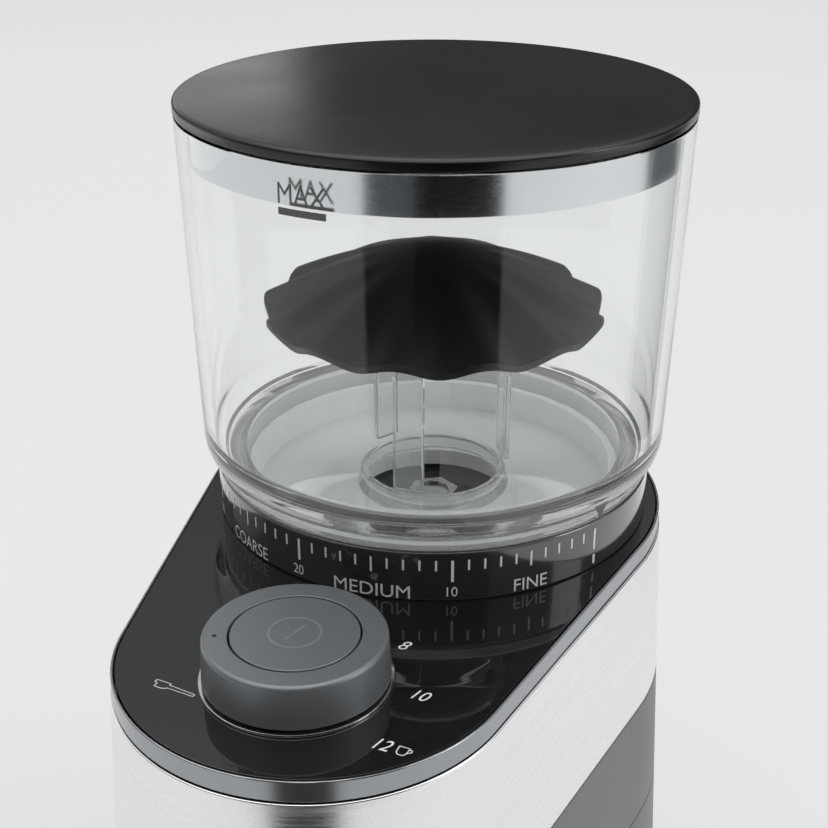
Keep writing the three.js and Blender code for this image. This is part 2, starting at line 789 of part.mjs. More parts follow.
function motorCan() {
  const bottom = motorTopZ - motorLength;
  const can = rod(motorRadius, bottom, motorTopZ, round);
  const hollow = rod(motorRadius - motorWall, bottom - 1, motorTopZ - motorWall, round);
  return cut(can, hollow, rod(motorShaftRadius + 1.2, bottom, motorTopZ + 1));
}

function motorEndCap() {
  const top = motorTopZ - motorLength - partGap;
  return turned([
    [motorShaftRadius + 3, top - motorCapThickness],
    [motorRadius, top - motorCapThickness],
    [motorRadius, top],
    [motorShaftRadius + 0.4, top],
    [motorShaftRadius + 0.4, top - 1.5],
    [motorShaftRadius + 3, top - 1.5],
    [motorShaftRadius + 3, top - motorCapThickness],
  ], round);
}

function armature() {
  const points = [];
  const slotHalf = 0.09; // half a slot's width, as a share of the slots' pitch
  for (let slot = 0; slot < armatureSlots; slot++) {
    const middle = (slot * 360) / armatureSlots;
    const step = 360 / armatureSlots;
    for (const share of [-slotHalf, slotHalf]) {
      points.push(fromPolar(armatureRadius - 4, middle + share * step));
    }
    for (let corner = 0; corner < 4; corner++) {
      const share = slotHalf + (corner * (1 - 2 * slotHalf)) / 3;
      points.push(fromPolar(armatureRadius, middle + share * step));
    }
  }
  const depth = armatureLength;
  const core = new THREE.ExtrudeGeometry(new THREE.Shape(points), { depth, bevelEnabled: false });
  core.translate(0, 0, motorTopZ - 12 - depth);
  return cut(core, rod(motorShaftRadius + boreGap, motorTopZ - motorLength, motorTopZ));
}

const commutatorTopZ = motorTopZ - 12.3 - armatureLength;
const commutator = () =>
  tube(commutatorRadius, motorShaftRadius + boreGap, commutatorTopZ - commutatorLength, commutatorTopZ);
const motorShaft = () =>
  rod(motorShaftRadius, motorTopZ - motorLength + 0.5, idlerBottomZ + idlerGearHeight + 0.8);

function magnet(side) {
  const outer = motorRadius - motorWall - partGap;
  const half = THREE.MathUtils.degToRad(magnetHalfAngle);
  const arc = new THREE.Shape();
  arc.absarc(0, 0, outer, -half, half, false);
  arc.absarc(0, 0, outer - magnetThickness, half, -half, true);
  const depth = armatureLength + 2;
  const segment = new THREE.ExtrudeGeometry(arc, { depth, bevelEnabled: false, curveSegments: 10 });
  return segment.translate(0, 0, motorTopZ - 13 - armatureLength).rotateZ(side > 0 ? 0 : Math.PI);
}

// Cup dial and start button -----------------------------------------------------------------

const knobWellRadius = buttonRadius + runGap;

function cupDial() {
  const low = knobRadius + knobFlare;
  return turned([
    [dialShaftRadius + 4, knobBottomZ],
    [low, knobBottomZ],
    [knobRadius, knobTopZ - knobEdge],
    [knobRadius - 0.3 * knobEdge, knobTopZ - 0.3 * knobEdge],
    [knobRadius - knobEdge, knobTopZ],
    [knobWellRadius, knobTopZ],
    [knobWellRadius, knobFloorZ],
    [plungerRadius + runGap, knobFloorZ],
    [plungerRadius + runGap, knobFloorZ - knobFloorThickness],
    [dialShaftRadius + 4, knobFloorZ - knobFloorThickness],
    [dialShaftRadius + 4, knobBottomZ],
  ], round);
}

function dialShaft() {
  const bottom = boardZ + switchHeight + seat + 0.8;
  return tube(dialShaftRadius, plungerRadius + runGap, bottom, knobFloorZ - knobFloorThickness - seat);
}

function startButton() {
  const bottom = boardZ + switchHeight + buttonTravel + partGap;
  const under = knobTopZ - buttonThickness;
  return turned([
    [0, bottom],
    [plungerRadius, bottom],
    [plungerRadius, under],
    [buttonRadius, under],
    [buttonRadius, knobTopZ - 0.2],
    [buttonRadius - 0.2, knobTopZ],
    [0, knobTopZ],
  ], round);
}

const springRadius = 7;
const springWire = 0.45;
const springTurns = 2;

function buttonSpring() {
  const bottom = knobFloorZ + springWire + seat;
  const rise = knobTopZ - buttonThickness - knobFloorZ - 2 * springWire - 2 * seat;
  class Helix extends THREE.Curve {
    getPoint(t, target = new THREE.Vector3()) {
      const angle = 2 * Math.PI * springTurns * t;
      return target.set(springRadius * Math.cos(angle), springRadius * Math.sin(angle), bottom + rise * t);
    }
  }
  const section = new THREE.Path().absarc(0, 0, springWire, 0, 2 * Math.PI).getPoints(3);
  const wire = new THREE.Shape(section.slice(0, -1));
  return new THREE.ExtrudeGeometry(wire, { steps: 10 * springTurns, extrudePath: new Helix() });
}

const knobTrim = () => tube(trimRadius, trimRadius - 2.4, seat, trimHeight, round);

function dialEncoder() {
  const half = encoderWidth / 2;
  const bottom = boardZ + seat;
  const body = block(-half, half, -half, half, bottom, boardZ + encoderHeight);
  return cut(body, rod(dialShaftRadius + runGap, bottom - 1, boardZ + encoderHeight + 1));
}

function startSwitch() {
  const half = switchWidth / 2;
  return block(-half, half, -half, half, boardZ + seat, boardZ + switchHeight);
}

function controlBoard() {
  const board = block(-25, 25, -19, 15, boardZ - boardThickness, boardZ);
  const chips = [-18, 16].map((x) => block(x - 3, x + 3, -15, -7, boardZ - 0.5, boardZ + 2));
  return join(board, ...chips);
}

// Container, bay and electrics --------------------------------------------------------------

const bayBlock = (halfWidth, rear, bottom, top) =>
  block(-halfWidth, halfWidth, -2 * endDistance, rear, bottom, top);

function containerBay() {
  const bottom = bayFloorZ - bayWall;
  const top = bayTopZ + bayWall;
  const outer = common(
    bayBlock(bayHalfWidth + bayWall, bayRearY + bayWall, bottom, top),
    bodyFill(bottom - 1, top + 1, housingWall + partGap),
  );
  const inner = bayBlock(bayHalfWidth, bayRearY, bayFloorZ, bayTopZ);
  return cut(outer, inner, block(-9, 9, chuteY - 8, chuteY + 8, bayTopZ - 1, top + 1));
}

function container() {
  const half = bayHalfWidth - containerGap;
  const bottom = bayFloorZ + containerGap;
  const rear = bayRearY - containerGap;
  const outside = common(
    bayBlock(half, rear, bottom, containerTopZ),
    bodyFill(bottom - 1, containerTopZ + 1, 0),
  );
  const inside = common(
    bayBlock(half - containerWall, rear - containerWall, bottom + containerWall, containerTopZ + 1),
    bodyFill(bottom, containerTopZ + 2, containerWall),
  );
  const top = containerTopZ - gripDrop;
  const low = top - gripHeight;
  const front = -endDistance - frontRadius + 6;
  const grip = common(
    block(-gripWidth / 2, gripWidth / 2, -2 * endDistance, front, low, top),
    cut(bodyFill(low - 1, top + 1, -gripDepth), bodyFill(low - 2, top + 2, containerWall / 2)),
  );
  return cut(join(outside, grip), inside);
}

function containerLid() {
  const bottom = containerTopZ + partGap;
  const top = bottom + containerLidThickness;
  const plate = common(
    bayBlock(bayHalfWidth - containerGap, bayRearY - containerGap, bottom, top),
    bodyFill(bottom - 1, top + 1, 0),
  );
  return cut(plate, rod(9, bottom - 1, top + 1, plain, 0, chuteY));
}

function cordGland() {
  const rear = rearRadius + flareAt(glandZ);
  const face = rear + 0.8;
  const body = throughRear(glandRadius, rear - 7, face);
  const flange = throughRear(glandRadius + 1.5, face - 0.35, face);
  const nut = throughRear(glandRadius + 2, rear - 6.5, rear - housingWall - glandSetback);
  return cut(join(body, flange, nut), throughRear(glandRadius - 1.6, rear - 20, rear + 20));
}

function powerBoard() {
  const z = floorZ + 18;
  const board = block(-24, 24, 4, 38, z, z + boardThickness);
  const capacitor = rod(6, z + 1, z + 16, plain, -14, 22);
  return join(board, capacitor, block(0, 16, 12, 30, z + 1, z + 12));
}

const hopperSwitch = () => block(-6.5, 6.5, threadRadius + 7, threadRadius + 13, -16, shellTopZ - 2.6);

// Assembly ----------------------------------------------------------------------------------

function add(parent, name, geometry, material, x = 0, y = 0) {
  const mesh = new THREE.Mesh(geometry, material);
  mesh.name = name;
  mesh.position.set(x, y, 0);
  parent.add(mesh);
}

const group = new THREE.Group();
group.name = "burr_coffee_grinder";

// The hopper's axis at deck height. Half the difference of the two reaches centres the footprint.
const hopperY = (endDistance + frontRadius - rearRadius) / 2;
const head = new THREE.Group();
head.position.set(0, hopperY, deckHeight);
group.add(head);

add(head, "base_plate", basePlate(), greyPlastic);
for (const [place, x, y] of [
  ["rear_right", 27, 34],
  ["rear_left", -27, 34],
  ["front_right", 24, -endDistance - 24],
  ["front_left", -24, -endDistance - 24],
]) {
  add(head, `foot_${place}`, foot(), rubber, x, y);
}
for (const [place, x, y] of screwPlaces) add(head, `base_screw_${place}`, baseScrew(), shaftSteel, x, y);
add(head, "lower_housing", lowerHousing(), greyPlastic);
add(head, "mid_housing", midHousing(), greyPlastic);
add(head, "steel_shell", steelShell(), steel);
add(head, "top_frame", topFrame(), blackPlastic);
add(head, "bezel", bezel(), bezelGrey);
add(head, "deck_panel", deckPanel(), glossBlack);
add(head, "scale_ring", scaleRing(), charcoal);

add(head, "hopper", hopper(), clearPlastic);
add(head, "bean_guard", beanGuard(), guardGrey);
add(head, "guard_legs", guardLegs(), clearPlastic);
add(head, "lid", lid(), charcoal);
add(head, "lid_collar", lidCollar(), chrome);

add(head, "adjusting_ring", adjustingRing(), paleGrey);
add(head, "burr_carrier", burrCarrier(), blackPlastic);
add(head, "ring_burr", ringBurr(), burrSteel);
add(head, "burr_seal", burrSeal(), rubber);
add(head, "grinding_chamber", grindingChamber(), blackPlastic);
add(head, "cone_burr", coneBurr(), burrSteel);
add(head, "sweeper", sweeper(), nylon);
add(head, "burr_nut", burrNut(), brassFinish);
add(head, "ground_chute", groundChute(), blackPlastic);

add(head, "output_shaft", outputShaft(), shaftSteel);
add(head, "output_gear", outputGear(), nylon);
add(head, "upper_bearing", upperBearing(), brassFinish);
add(head, "lower_bearing", lowerBearing(), brassFinish);
add(head, "idler_gear", idlerGear(), nylon, idlerAt.x, idlerAt.y);
add(head, "idler_pin", idlerPin(), shaftSteel, idlerAt.x, idlerAt.y);
add(head, "gearbox_housing", gearboxHousing(), blackPlastic);
add(head, "gearbox_cover", gearboxCover(), blackPlastic);

const motor = new THREE.Group();
motor.position.set(motorAt.x, motorAt.y, 0);
head.add(motor);
add(motor, "motor_can", motorCan(), galvanised);
add(motor, "motor_end_cap", motorEndCap(), blackPlastic);
add(motor, "armature", armature(), copper);
add(motor, "commutator", commutator(), copper);
add(motor, "motor_shaft", motorShaft(), shaftSteel);
add(motor, "motor_pinion", motorPinion(), brassFinish);
add(motor, "magnet_right", magnet(1), ferrite);
add(motor, "magnet_left", magnet(-1), ferrite);

const dial = new THREE.Group();
dial.position.set(0, knobY, 0);
head.add(dial);
add(dial, "knob_trim", knobTrim(), chrome);
add(dial, "cup_dial", cupDial(), satinGrey);
add(dial, "dial_shaft", dialShaft(), nylon);
add(dial, "start_button", startButton(), satinGrey);
add(dial, "button_spring", buttonSpring(), shaftSteel);
add(dial, "dial_encoder", dialEncoder(), blackPlastic);
add(dial, "start_switch", startSwitch(), nylon);
add(dial, "control_board", controlBoard(), circuitBoard);

add(head, "container_bay", containerBay(), blackPlastic);
add(head, "container", container(), smoked);
add(head, "container_lid", containerLid(), blackPlastic);
add(head, "cord_gland", cordGland(), rubber);
add(head, "power_board", powerBoard(), circuitBoard);
add(head, "hopper_switch", hopperSwitch(), blackPlastic);

export default group;
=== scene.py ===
import math

import bmesh
import bpy
from mathutils import Matrix, Vector


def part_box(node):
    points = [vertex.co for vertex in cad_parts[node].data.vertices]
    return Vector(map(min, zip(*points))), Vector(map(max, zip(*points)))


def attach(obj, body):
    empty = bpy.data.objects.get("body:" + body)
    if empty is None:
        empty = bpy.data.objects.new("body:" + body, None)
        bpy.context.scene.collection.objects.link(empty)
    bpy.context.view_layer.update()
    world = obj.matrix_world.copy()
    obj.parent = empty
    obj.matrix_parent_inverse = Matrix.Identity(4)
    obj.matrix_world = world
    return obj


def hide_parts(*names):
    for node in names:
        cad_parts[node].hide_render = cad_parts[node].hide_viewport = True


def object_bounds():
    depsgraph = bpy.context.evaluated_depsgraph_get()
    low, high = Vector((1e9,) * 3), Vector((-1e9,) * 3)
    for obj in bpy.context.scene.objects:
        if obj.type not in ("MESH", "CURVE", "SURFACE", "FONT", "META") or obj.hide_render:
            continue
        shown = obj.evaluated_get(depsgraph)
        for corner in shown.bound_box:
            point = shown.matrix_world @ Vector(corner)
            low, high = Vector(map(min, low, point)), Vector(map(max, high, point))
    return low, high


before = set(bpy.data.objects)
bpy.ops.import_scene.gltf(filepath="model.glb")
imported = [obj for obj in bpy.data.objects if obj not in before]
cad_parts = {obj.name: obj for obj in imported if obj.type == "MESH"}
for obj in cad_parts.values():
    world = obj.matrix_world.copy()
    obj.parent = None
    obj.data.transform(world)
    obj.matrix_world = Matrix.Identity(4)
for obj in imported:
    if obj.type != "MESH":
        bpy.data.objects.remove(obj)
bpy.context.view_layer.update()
MM = 0.001

# Camera: close to the grinder's front right, looking down on the hopper and the dial.
# Its place is taken from the hopper's axis at the deck's top face.
ring_low, ring_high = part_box("scale_ring")
deck_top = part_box("deck_panel")[1].z
axis = Vector(((ring_low.x + ring_high.x) / 2, (ring_low.y + ring_high.y) / 2, deck_top))
camera_distance, camera_rise = 325.25 * MM, 174.4 * MM
camera_bearing, camera_heading, camera_pitch = 0.3235, 0.338, 0.4418
camera = bpy.data.objects.new("camera", bpy.data.cameras.new("camera"))
camera.data.sensor_width = 36
camera.data.lens = 63.4
camera.data.clip_start = 0.01
camera.location = axis + Vector((
    camera_distance * math.sin(camera_bearing), -camera_distance * math.cos(camera_bearing), camera_rise,
))
camera.rotation_euler = (math.pi / 2 - camera_pitch, 0, camera_heading)
bpy.context.scene.collection.objects.link(camera)
bpy.context.scene.camera = camera


# Feet: four rubber pads, compression moulded and pushed into the base plate. A shallow ring
# is moulded into each sole, so that it grips the worktop.
def linear(hex_colour):
    """An sRGB hex colour as the linear colour that a shader takes."""
    parts = [int(hex_colour[i : i + 2], 16) / 255 for i in (1, 3, 5)]
    return [p / 12.92 if p <= 0.04045 else ((p + 0.055) / 1.055) ** 2.4 for p in parts] + [1.0]


def add_node(tree, kind, inputs=None, **settings):
    """Adds a shader node. An input is a value, or the socket that feeds it."""
    node = tree.nodes.new(kind)
    for name, value in settings.items():
        setattr(node, name, value)
    for name, value in (inputs or {}).items():
        if isinstance(value, bpy.types.NodeSocket):
            tree.links.new(value, node.inputs[name])
        else:
            node.inputs[name].default_value = value
    return node


def start_material(name):
    """An empty material, its node tree and the place on the object that its patterns follow."""
    material = bpy.data.materials.new(name)
    material.use_nodes = True
    tree = material.node_tree
    tree.nodes.clear()
    return material, tree, add_node(tree, "ShaderNodeTexCoord").outputs["Object"]


def moulded(name, colour, patch_colour, roughness, grain, depth, ior=1.5):
    """A moulded surface: the tool's grain as bumps, and wide patches a shade shinier than the rest."""
    patch_size, sheen_spread = 60 * MM, 0.04
    material, tree, place = start_material(name)
    bumps = add_node(tree, "ShaderNodeTexNoise", {"Vector": place, "Scale": 1 / grain, "Detail": 3.0})
    patches = add_node(tree, "ShaderNodeTexNoise", {"Vector": place, "Scale": 1 / patch_size, "Detail": 2.0})
    tint = add_node(tree, "ShaderNodeMix", {
        0: patches.outputs["Fac"], 6: linear(colour), 7: linear(patch_colour),
    }, data_type="RGBA")
    sheen = add_node(tree, "ShaderNodeMapRange", {
        "Value": patches.outputs["Fac"], "From Min": 0.3, "From Max": 0.7,
        "To Min": roughness - sheen_spread, "To Max": roughness + sheen_spread,
    })
    relief = add_node(tree, "ShaderNodeBump", {
        "Height": bumps.outputs["Fac"], "Strength": 0.6, "Distance": depth,
    })
    shader = add_node(tree, "ShaderNodeBsdfPrincipled", {
        "Base Color": tint.outputs[2], "Roughness": sheen.outputs["Result"],
        "Normal": relief.outputs["Normal"], "IOR": ior,
    })
    add_node(tree, "ShaderNodeOutputMaterial", {"Surface": shader.outputs["BSDF"]})
    return material


def meshed(shape, name):
    """Turns a shape into a mesh."""
    mesh = bpy.data.meshes.new(name)
    shape.to_mesh(mesh)
    shape.free()
    return mesh


def make_piece(name, shape, body, material, slot, *stands_for, sharp=30):
    """Makes a shape a piece on a body. It stands for CAD nodes, and edges over the sharp angle stay crisp."""
    mesh = meshed(shape, name) if isinstance(shape, bmesh.types.BMesh) else shape
    mesh.materials.clear()
    mesh.materials.append(material)
    mesh.shade_smooth()
    mesh.set_sharp_from_angle(angle=math.radians(sharp))
    piece = bpy.data.objects.new(name, mesh)
    bpy.context.scene.collection.objects.link(piece)
    flatten = piece.modifiers.new("even_faces", "WEIGHTED_NORMAL")
    flatten.keep_sharp = True
    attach(piece, body)
    if stands_for:
        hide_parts(*stands_for)
    return piece


def soften(shape, width, angle=40, segments=3):
    """Rounds every edge that turns by more than an angle, in degrees. The width is in millimetres."""
    edges = [e for e in shape.edges if e.is_manifold and e.calc_face_angle() > math.radians(angle)]
    bmesh.ops.bevel(
        shape, geom=edges, offset=width * MM, segments=segments, profile=0.5,
        affect="EDGES", clamp_overlap=True, material=-1,
    )
    return shape


def turned(profile, centre, steps=96):
    """Spins (radius, height) points in millimetres, taken from a centre, a full turn about Z."""
    shape = bmesh.new()
    corners = [shape.verts.new(centre + Vector((r, 0, z)) * MM) for r, z in profile]
    lines = [shape.edges.new(ends) for ends in zip(corners, corners[1:])]
    bmesh.ops.spin(
        shape, geom=corners + lines, cent=centre, axis=(0, 0, 1),
        angle=2 * math.pi, steps=steps, use_merge=True,
    )
    bmesh.ops.remove_doubles(shape, verts=shape.verts, dist=0.001 * MM)
    bmesh.ops.recalc_face_normals(shape, faces=shape.faces)
    return shape


def underside(node):
    """The middle of a node's underside."""
    low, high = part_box(node)
    return Vector(((low.x + high.x) / 2, (low.y + high.y) / 2, low.z))


# Moulded rubber: near black and dull, with no highlight along its edges.
rubber = moulded("moulded_rubber", "#1d1d1e", "#262627", 0.78, 0.5 * MM, 0.03 * MM)
corner_names = ("rear_right", "rear_left", "front_right", "front_left")
hollow, grip_width = 0.5, 3
for corner in corner_names:
    low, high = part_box(f"foot_{corner}")
    wide, tall = (high.y - low.y) / 2 / MM, (high.z - low.z) / MM
    sole = turned([
        (0, hollow), (wide - grip_width, hollow), (wide - grip_width + 0.4, 0),
        (wide, 0), (wide, tall), (0, tall),
    ], underside(f"foot_{corner}"), steps=48)
    make_piece(f"foot_pad_{corner}", soften(sole, 0.5), "housing", rubber, "rubber", f"foot_{corner}")


# Base plate and its four screws: a black moulded plate with cooling slots, held up into the
# lower housing by zinc-plated screws. Their CAD shapes are right and get their finishes here.
def dress(material, *nodes):
    """Gives carried-over CAD nodes a material."""
    for node in nodes:
        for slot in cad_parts[node].material_slots:
            slot.link = "OBJECT"
            slot.material = material


# Grained black ABS: a soft sheen, broken up by the tool's fine spark grain.
black_abs = moulded("grained_black_abs", "#1b1c1d", "#232425", 0.55, 0.6 * MM, 0.03 * MM)


def metal(name, colour, roughness, grain, stretch=(1, 1, 1), depth=0.004 * MM):
    """Bare metal with fine marks. The stretch packs the marks along an axis, as turning does."""
    sheen_spread = 0.05
    material, tree, place = start_material(name)
    along = add_node(tree, "ShaderNodeMapping", {"Vector": place, "Scale": stretch})
    marks = add_node(tree, "ShaderNodeTexNoise", {
        "Vector": along.outputs["Vector"], "Scale": 1 / grain, "Detail": 4.0, "Roughness": 0.6,
    })
    sheen = add_node(tree, "ShaderNodeMapRange", {
        "Value": marks.outputs["Fac"], "From Min": 0.3, "From Max": 0.7,
        "To Min": roughness - sheen_spread, "To Max": roughness + sheen_spread,
    })
    relief = add_node(tree, "ShaderNodeBump", {
        "Height": marks.outputs["Fac"], "Strength": 0.5, "Distance": depth,
    })
    shader = add_node(tree, "ShaderNodeBsdfPrincipled", {
        "Base Color": linear(colour), "Metallic": 1.0, "Roughness": sheen.outputs["Result"],
        "Normal": relief.outputs["Normal"],
    })
    add_node(tree, "ShaderNodeOutputMaterial", {"Surface": shader.outputs["BSDF"]})
    return material


# Zinc plate: a bluish grey metal, a little cloudy.
zinc_plate = metal("zinc_plate", "#b4b8bb", 0.36, 2.0 * MM)
dress(black_abs, "base_plate")
dress(zinc_plate, *(f"base_screw_{corner}" for corner in corner_names))


# Lower and middle housing: two grey ABS shells, injection moulded, one clipped on the other.
# Their walls lean outwards on the way down, and both are open at the front for the container.
bezel_low, bezel_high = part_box("bezel")
tail_radius = bezel_high.y - axis.y
nose_radius = 42.3 * MM
nose = Vector((axis.x, bezel_low.y + nose_radius, axis.z))
side_angle = math.asin((tail_radius - nose_radius) / (axis.y - nose.y))
shell_top = (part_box("steel_shell")[1].z - axis.z) / MM
shell_step, lean = 0.4, math.tan(math.radians(3))


def standing_out(height):
    """How far the body's face stands outside the bezel at a height, in millimetres from the deck."""
    return shell_step + lean * (shell_top - height)


def side_step(towards, start_radius, end_radius, side):
    """From one round end's tangent point to the other's, along the right (1) or left (-1) side."""
    square_on = Vector((side * math.cos(side_angle), -math.sin(side_angle), 0))
    return towards + (end_radius - start_radius) * square_on


def carried_round(profile, closed=True, steps=64):
    """Carries (offset, height) points, in millimetres, round the body's two round ends and two sides."""
    shape = bmesh.new()
    tangent = Vector((math.cos(side_angle), -math.sin(side_angle), 0))
    corners = [
        shape.verts.new(axis + (tail_radius + offset * MM) * tangent + Vector((0, 0, height * MM)))
        for offset, height in profile
    ]
    followers = corners[1:] + corners[:1] if closed else corners[1:]
    strip = corners + [shape.edges.new(ends) for ends in zip(corners, followers)]
    for centre, sweep, side in (
        (axis, math.pi + 2 * side_angle, side_step(nose - axis, tail_radius, nose_radius, -1)),
        (nose, math.pi - 2 * side_angle, side_step(axis - nose, nose_radius, tail_radius, 1)),
    ):
        swung = bmesh.ops.spin(shape, geom=strip, cent=centre, axis=(0, 0, 1), angle=sweep, steps=steps)
        last = [item for item in swung["geom_last"] if isinstance(item, bmesh.types.BMEdge)]
        pushed = bmesh.ops.extrude_edge_only(shape, edges=last)
        strip = [item for item in pushed["geom"] if not isinstance(item, bmesh.types.BMFace)]
        bmesh.ops.translate(shape, vec=side, verts=[v for v in strip if isinstance(v, bmesh.types.BMVert)])
    bmesh.ops.remove_doubles(shape, verts=shape.verts, dist=0.001 * MM)
    bmesh.ops.recalc_face_normals(shape, faces=shape.faces)
    return shape


def wall_band(bottom, top, wall):
    """A piece of the body's leaning wall between two heights."""
    return carried_round([
        (standing_out(bottom), bottom), (standing_out(top), top),
        (standing_out(top) - wall, top), (standing_out(bottom) - wall, bottom),
    ])


def combined(shape, tool):
    """Cuts a tool shape out of a shape, and gives the mesh."""
    pair = []
    for part in (shape, tool):
        pair.append(bpy.data.objects.new("blank", meshed(part, "blank")))
        bpy.context.scene.collection.objects.link(pair[-1])
    cutting = pair[0].modifiers.new("cutting", "BOOLEAN")
    cutting.object, cutting.operation, cutting.solver = pair[1], "DIFFERENCE", "EXACT"
    graph = bpy.context.evaluated_depsgraph_get()
    mesh = bpy.data.meshes.new_from_object(pair[0].evaluated_get(graph))
    for part in pair:
        bpy.data.objects.remove(part)
    return mesh


def box_shape(low, high):
    """A box between two corners, in metres."""
    low, high = Vector(low), Vector(high)
    shape = bmesh.new()
    size = Matrix.Diagonal((*(high - low), 1))
    bmesh.ops.create_cube(shape, size=1, matrix=Matrix.Translation((low + high) / 2) @ size)
    return shape


def node_height(node, end):
    """A node's lowest (0) or highest (1) level, in millimetres from the deck."""
    return (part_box(node)[end].z - axis.z) / MM


# Grained grey ABS: mid grey and matt, so that it shades softly beside the steel.
grey_abs = moulded("grained_grey_abs", "#65686b", "#6b6e71", 0.42, 0.5 * MM, 0.02 * MM)
container_low, container_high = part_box("container")
bay_gap, bay_top, bay_back, shell_wall = 0.6 * MM, -53 * MM, -90 * MM, 2.5
for name, node in (("lower_shell", "lower_housing"), ("middle_shell", "mid_housing")):
    band = wall_band(node_height(node, 0), node_height(node, 1), shell_wall)
    bay_opening = box_shape(
        (2 * axis.x - container_high.x - bay_gap, bezel_low.y - 30 * MM, container_low.z - bay_gap),
        (container_high.x + bay_gap, axis.y + bay_back, axis.z + bay_top),
    )
    opened = combined(soften(band, 0.35), bay_opening)
    make_piece(name, opened, "housing", grey_abs, "plastic_grey", node)
dress(black_abs, "container_bay")


# Container for the grounds: smoked SAN, injection moulded, with its front following the body and
# a moulded lip to pull it by. Its lid is grey ABS.
def clear_plastic(name, colour, roughness, ior, waviness, hazy_foot=None):
    """A clear plastic. A thick foot, below a level and within a radius, is a little hazy."""
    flow_length, least_clarity = 25 * MM, 0.84
    material, tree, place = start_material(name)
    flow = add_node(tree, "ShaderNodeTexNoise", {"Vector": place, "Scale": 1 / flow_length, "Detail": 1.0})
    relief = add_node(tree, "ShaderNodeBump", {
        "Height": flow.outputs["Fac"], "Strength": 0.3, "Distance": waviness,
    })
    glass = add_node(tree, "ShaderNodeBsdfPrincipled", {
        "Base Color": linear(colour), "Roughness": roughness, "IOR": ior, "Transmission Weight": 1.0,
        "Normal": relief.outputs["Normal"],
    })
    if hazy_foot:
        level, radius = hazy_foot
        from_axis = add_node(tree, "ShaderNodeVectorMath", {0: place, 1: axis}, operation="SUBTRACT")
        level_only = {0: from_axis.outputs[0], 1: (1, 1, 0)}
        flat = add_node(tree, "ShaderNodeVectorMath", level_only, operation="MULTIPLY")
        out = add_node(tree, "ShaderNodeVectorMath", {0: flat.outputs[0]}, operation="LENGTH")
        upward = add_node(tree, "ShaderNodeSeparateXYZ", {"Vector": place})
        above = add_node(tree, "ShaderNodeMapRange", {
            "Value": upward.outputs["Z"], "From Min": level - 4 * MM, "From Max": level + 4 * MM,
        })
        beyond = add_node(tree, "ShaderNodeMapRange", {
            "Value": out.outputs["Value"], "From Min": radius - 1 * MM, "From Max": radius + 2 * MM,
        })
        outside = {0: above.outputs[0], 1: beyond.outputs[0]}
        clear = add_node(tree, "ShaderNodeMath", outside, operation="MAXIMUM")
        clarity = add_node(tree, "ShaderNodeMapRange", {
            "Value": clear.outputs[0], "To Min": least_clarity, "To Max": 1.0,
        })
        tree.links.new(clarity.outputs["Result"], glass.inputs["Transmission Weight"])
    through = add_node(tree, "ShaderNodeBsdfTransparent", {"Color": linear(colour)})
    rays = add_node(tree, "ShaderNodeLightPath")
    mixed = add_node(tree, "ShaderNodeMixShader", {
        0: rays.outputs["Is Shadow Ray"], 1: glass.outputs["BSDF"], 2: through.outputs["BSDF"],
    })
    add_node(tree, "ShaderNodeOutputMaterial", {"Surface": mixed.outputs["Shader"]})
    return material


# Smoked SAN: polished and see-through, with a brown-grey tint that hides the grounds a little.
smoked_san = clear_plastic("smoked_san", "#8b8784", 0.05, 1.57, 0.05 * MM)
dress(smoked_san, "container")
dress(grey_abs, "container_lid")


# Steel band: stainless sheet, rolled to the body's plan, welded at the back and brushed round
# the body before it is pressed over the frame. Its edges are turned in by a hair.

# Brushed stainless: near white, with fine level lines that spread every reflection up and down.
# The real lines are finer than a tenth of a millimetre and are drawn coarser, so that they show.
line_length, line_pitch = 32.4675 * MM, 0.50505 * MM
steel, tree, place = start_material("brushed_stainless")
along = add_node(tree, "ShaderNodeMapping", {
    "Vector": place, "Scale": (1 / line_length, 1 / line_length, 1 / line_pitch),
})
lines = add_node(tree, "ShaderNodeTexNoise", {
    "Vector": along.outputs["Vector"], "Scale": 1.0, "Detail": 5.0, "Roughness": 0.65,
}).outputs["Fac"]
sheen = add_node(tree, "ShaderNodeMapRange", {
    "Value": lines, "From Min": 0.3, "From Max": 0.7, "To Min": 0.2, "To Max": 0.34,
})
tone = add_node(tree, "ShaderNodeMapRange", {"Value": lines, "From Min": 0.3, "From Max": 0.7})
tint = add_node(tree, "ShaderNodeMix", {
    0: tone.outputs["Result"], 6: linear("#eeeff0"), 7: linear("#fafbfb"),
}, data_type="RGBA")
relief = add_node(tree, "ShaderNodeBump", {"Height": lines, "Strength": 0.3, "Distance": 0.005 * MM})
round_body = add_node(tree, "ShaderNodeTangent", direction_type="RADIAL", axis="Z")
shader = add_node(tree, "ShaderNodeBsdfPrincipled", {
    "Base Color": tint.outputs[2], "Metallic": 1.0, "Roughness": sheen.outputs["Result"],
    "Anisotropic": 0.4, "Tangent": round_body.outputs["Tangent"], "Normal": relief.outputs["Normal"],
})
add_node(tree, "ShaderNodeOutputMaterial", {"Surface": shader.outputs["BSDF"]})
sheet_thickness = 0.8
band = wall_band(node_height("steel_shell", 0), shell_top, sheet_thickness)
make_piece("steel_band", soften(band, 0.3), "housing", steel, "brushed", "steel_shell")


# Frame under the deck, and the inner works: a black moulded frame carries the deck and the burr
# chamber. The chamber, gearbox and motor hang under it on the drive's own axis. Their CAD shapes
# are right and get their finishes here.

# Natural nylon: a warm cream, seen in the gears.
nylon = moulded("natural_nylon", "#cfcabb", "#c6c1b2", 0.45, 0.8 * MM, 0.01 * MM, ior=1.53)
# Charcoal nylon: a dark even grey down the hopper's throat.
charcoal_nylon = moulded("charcoal_nylon", "#55595c", "#5b5f62", 0.5, 0.6 * MM, 0.02 * MM)
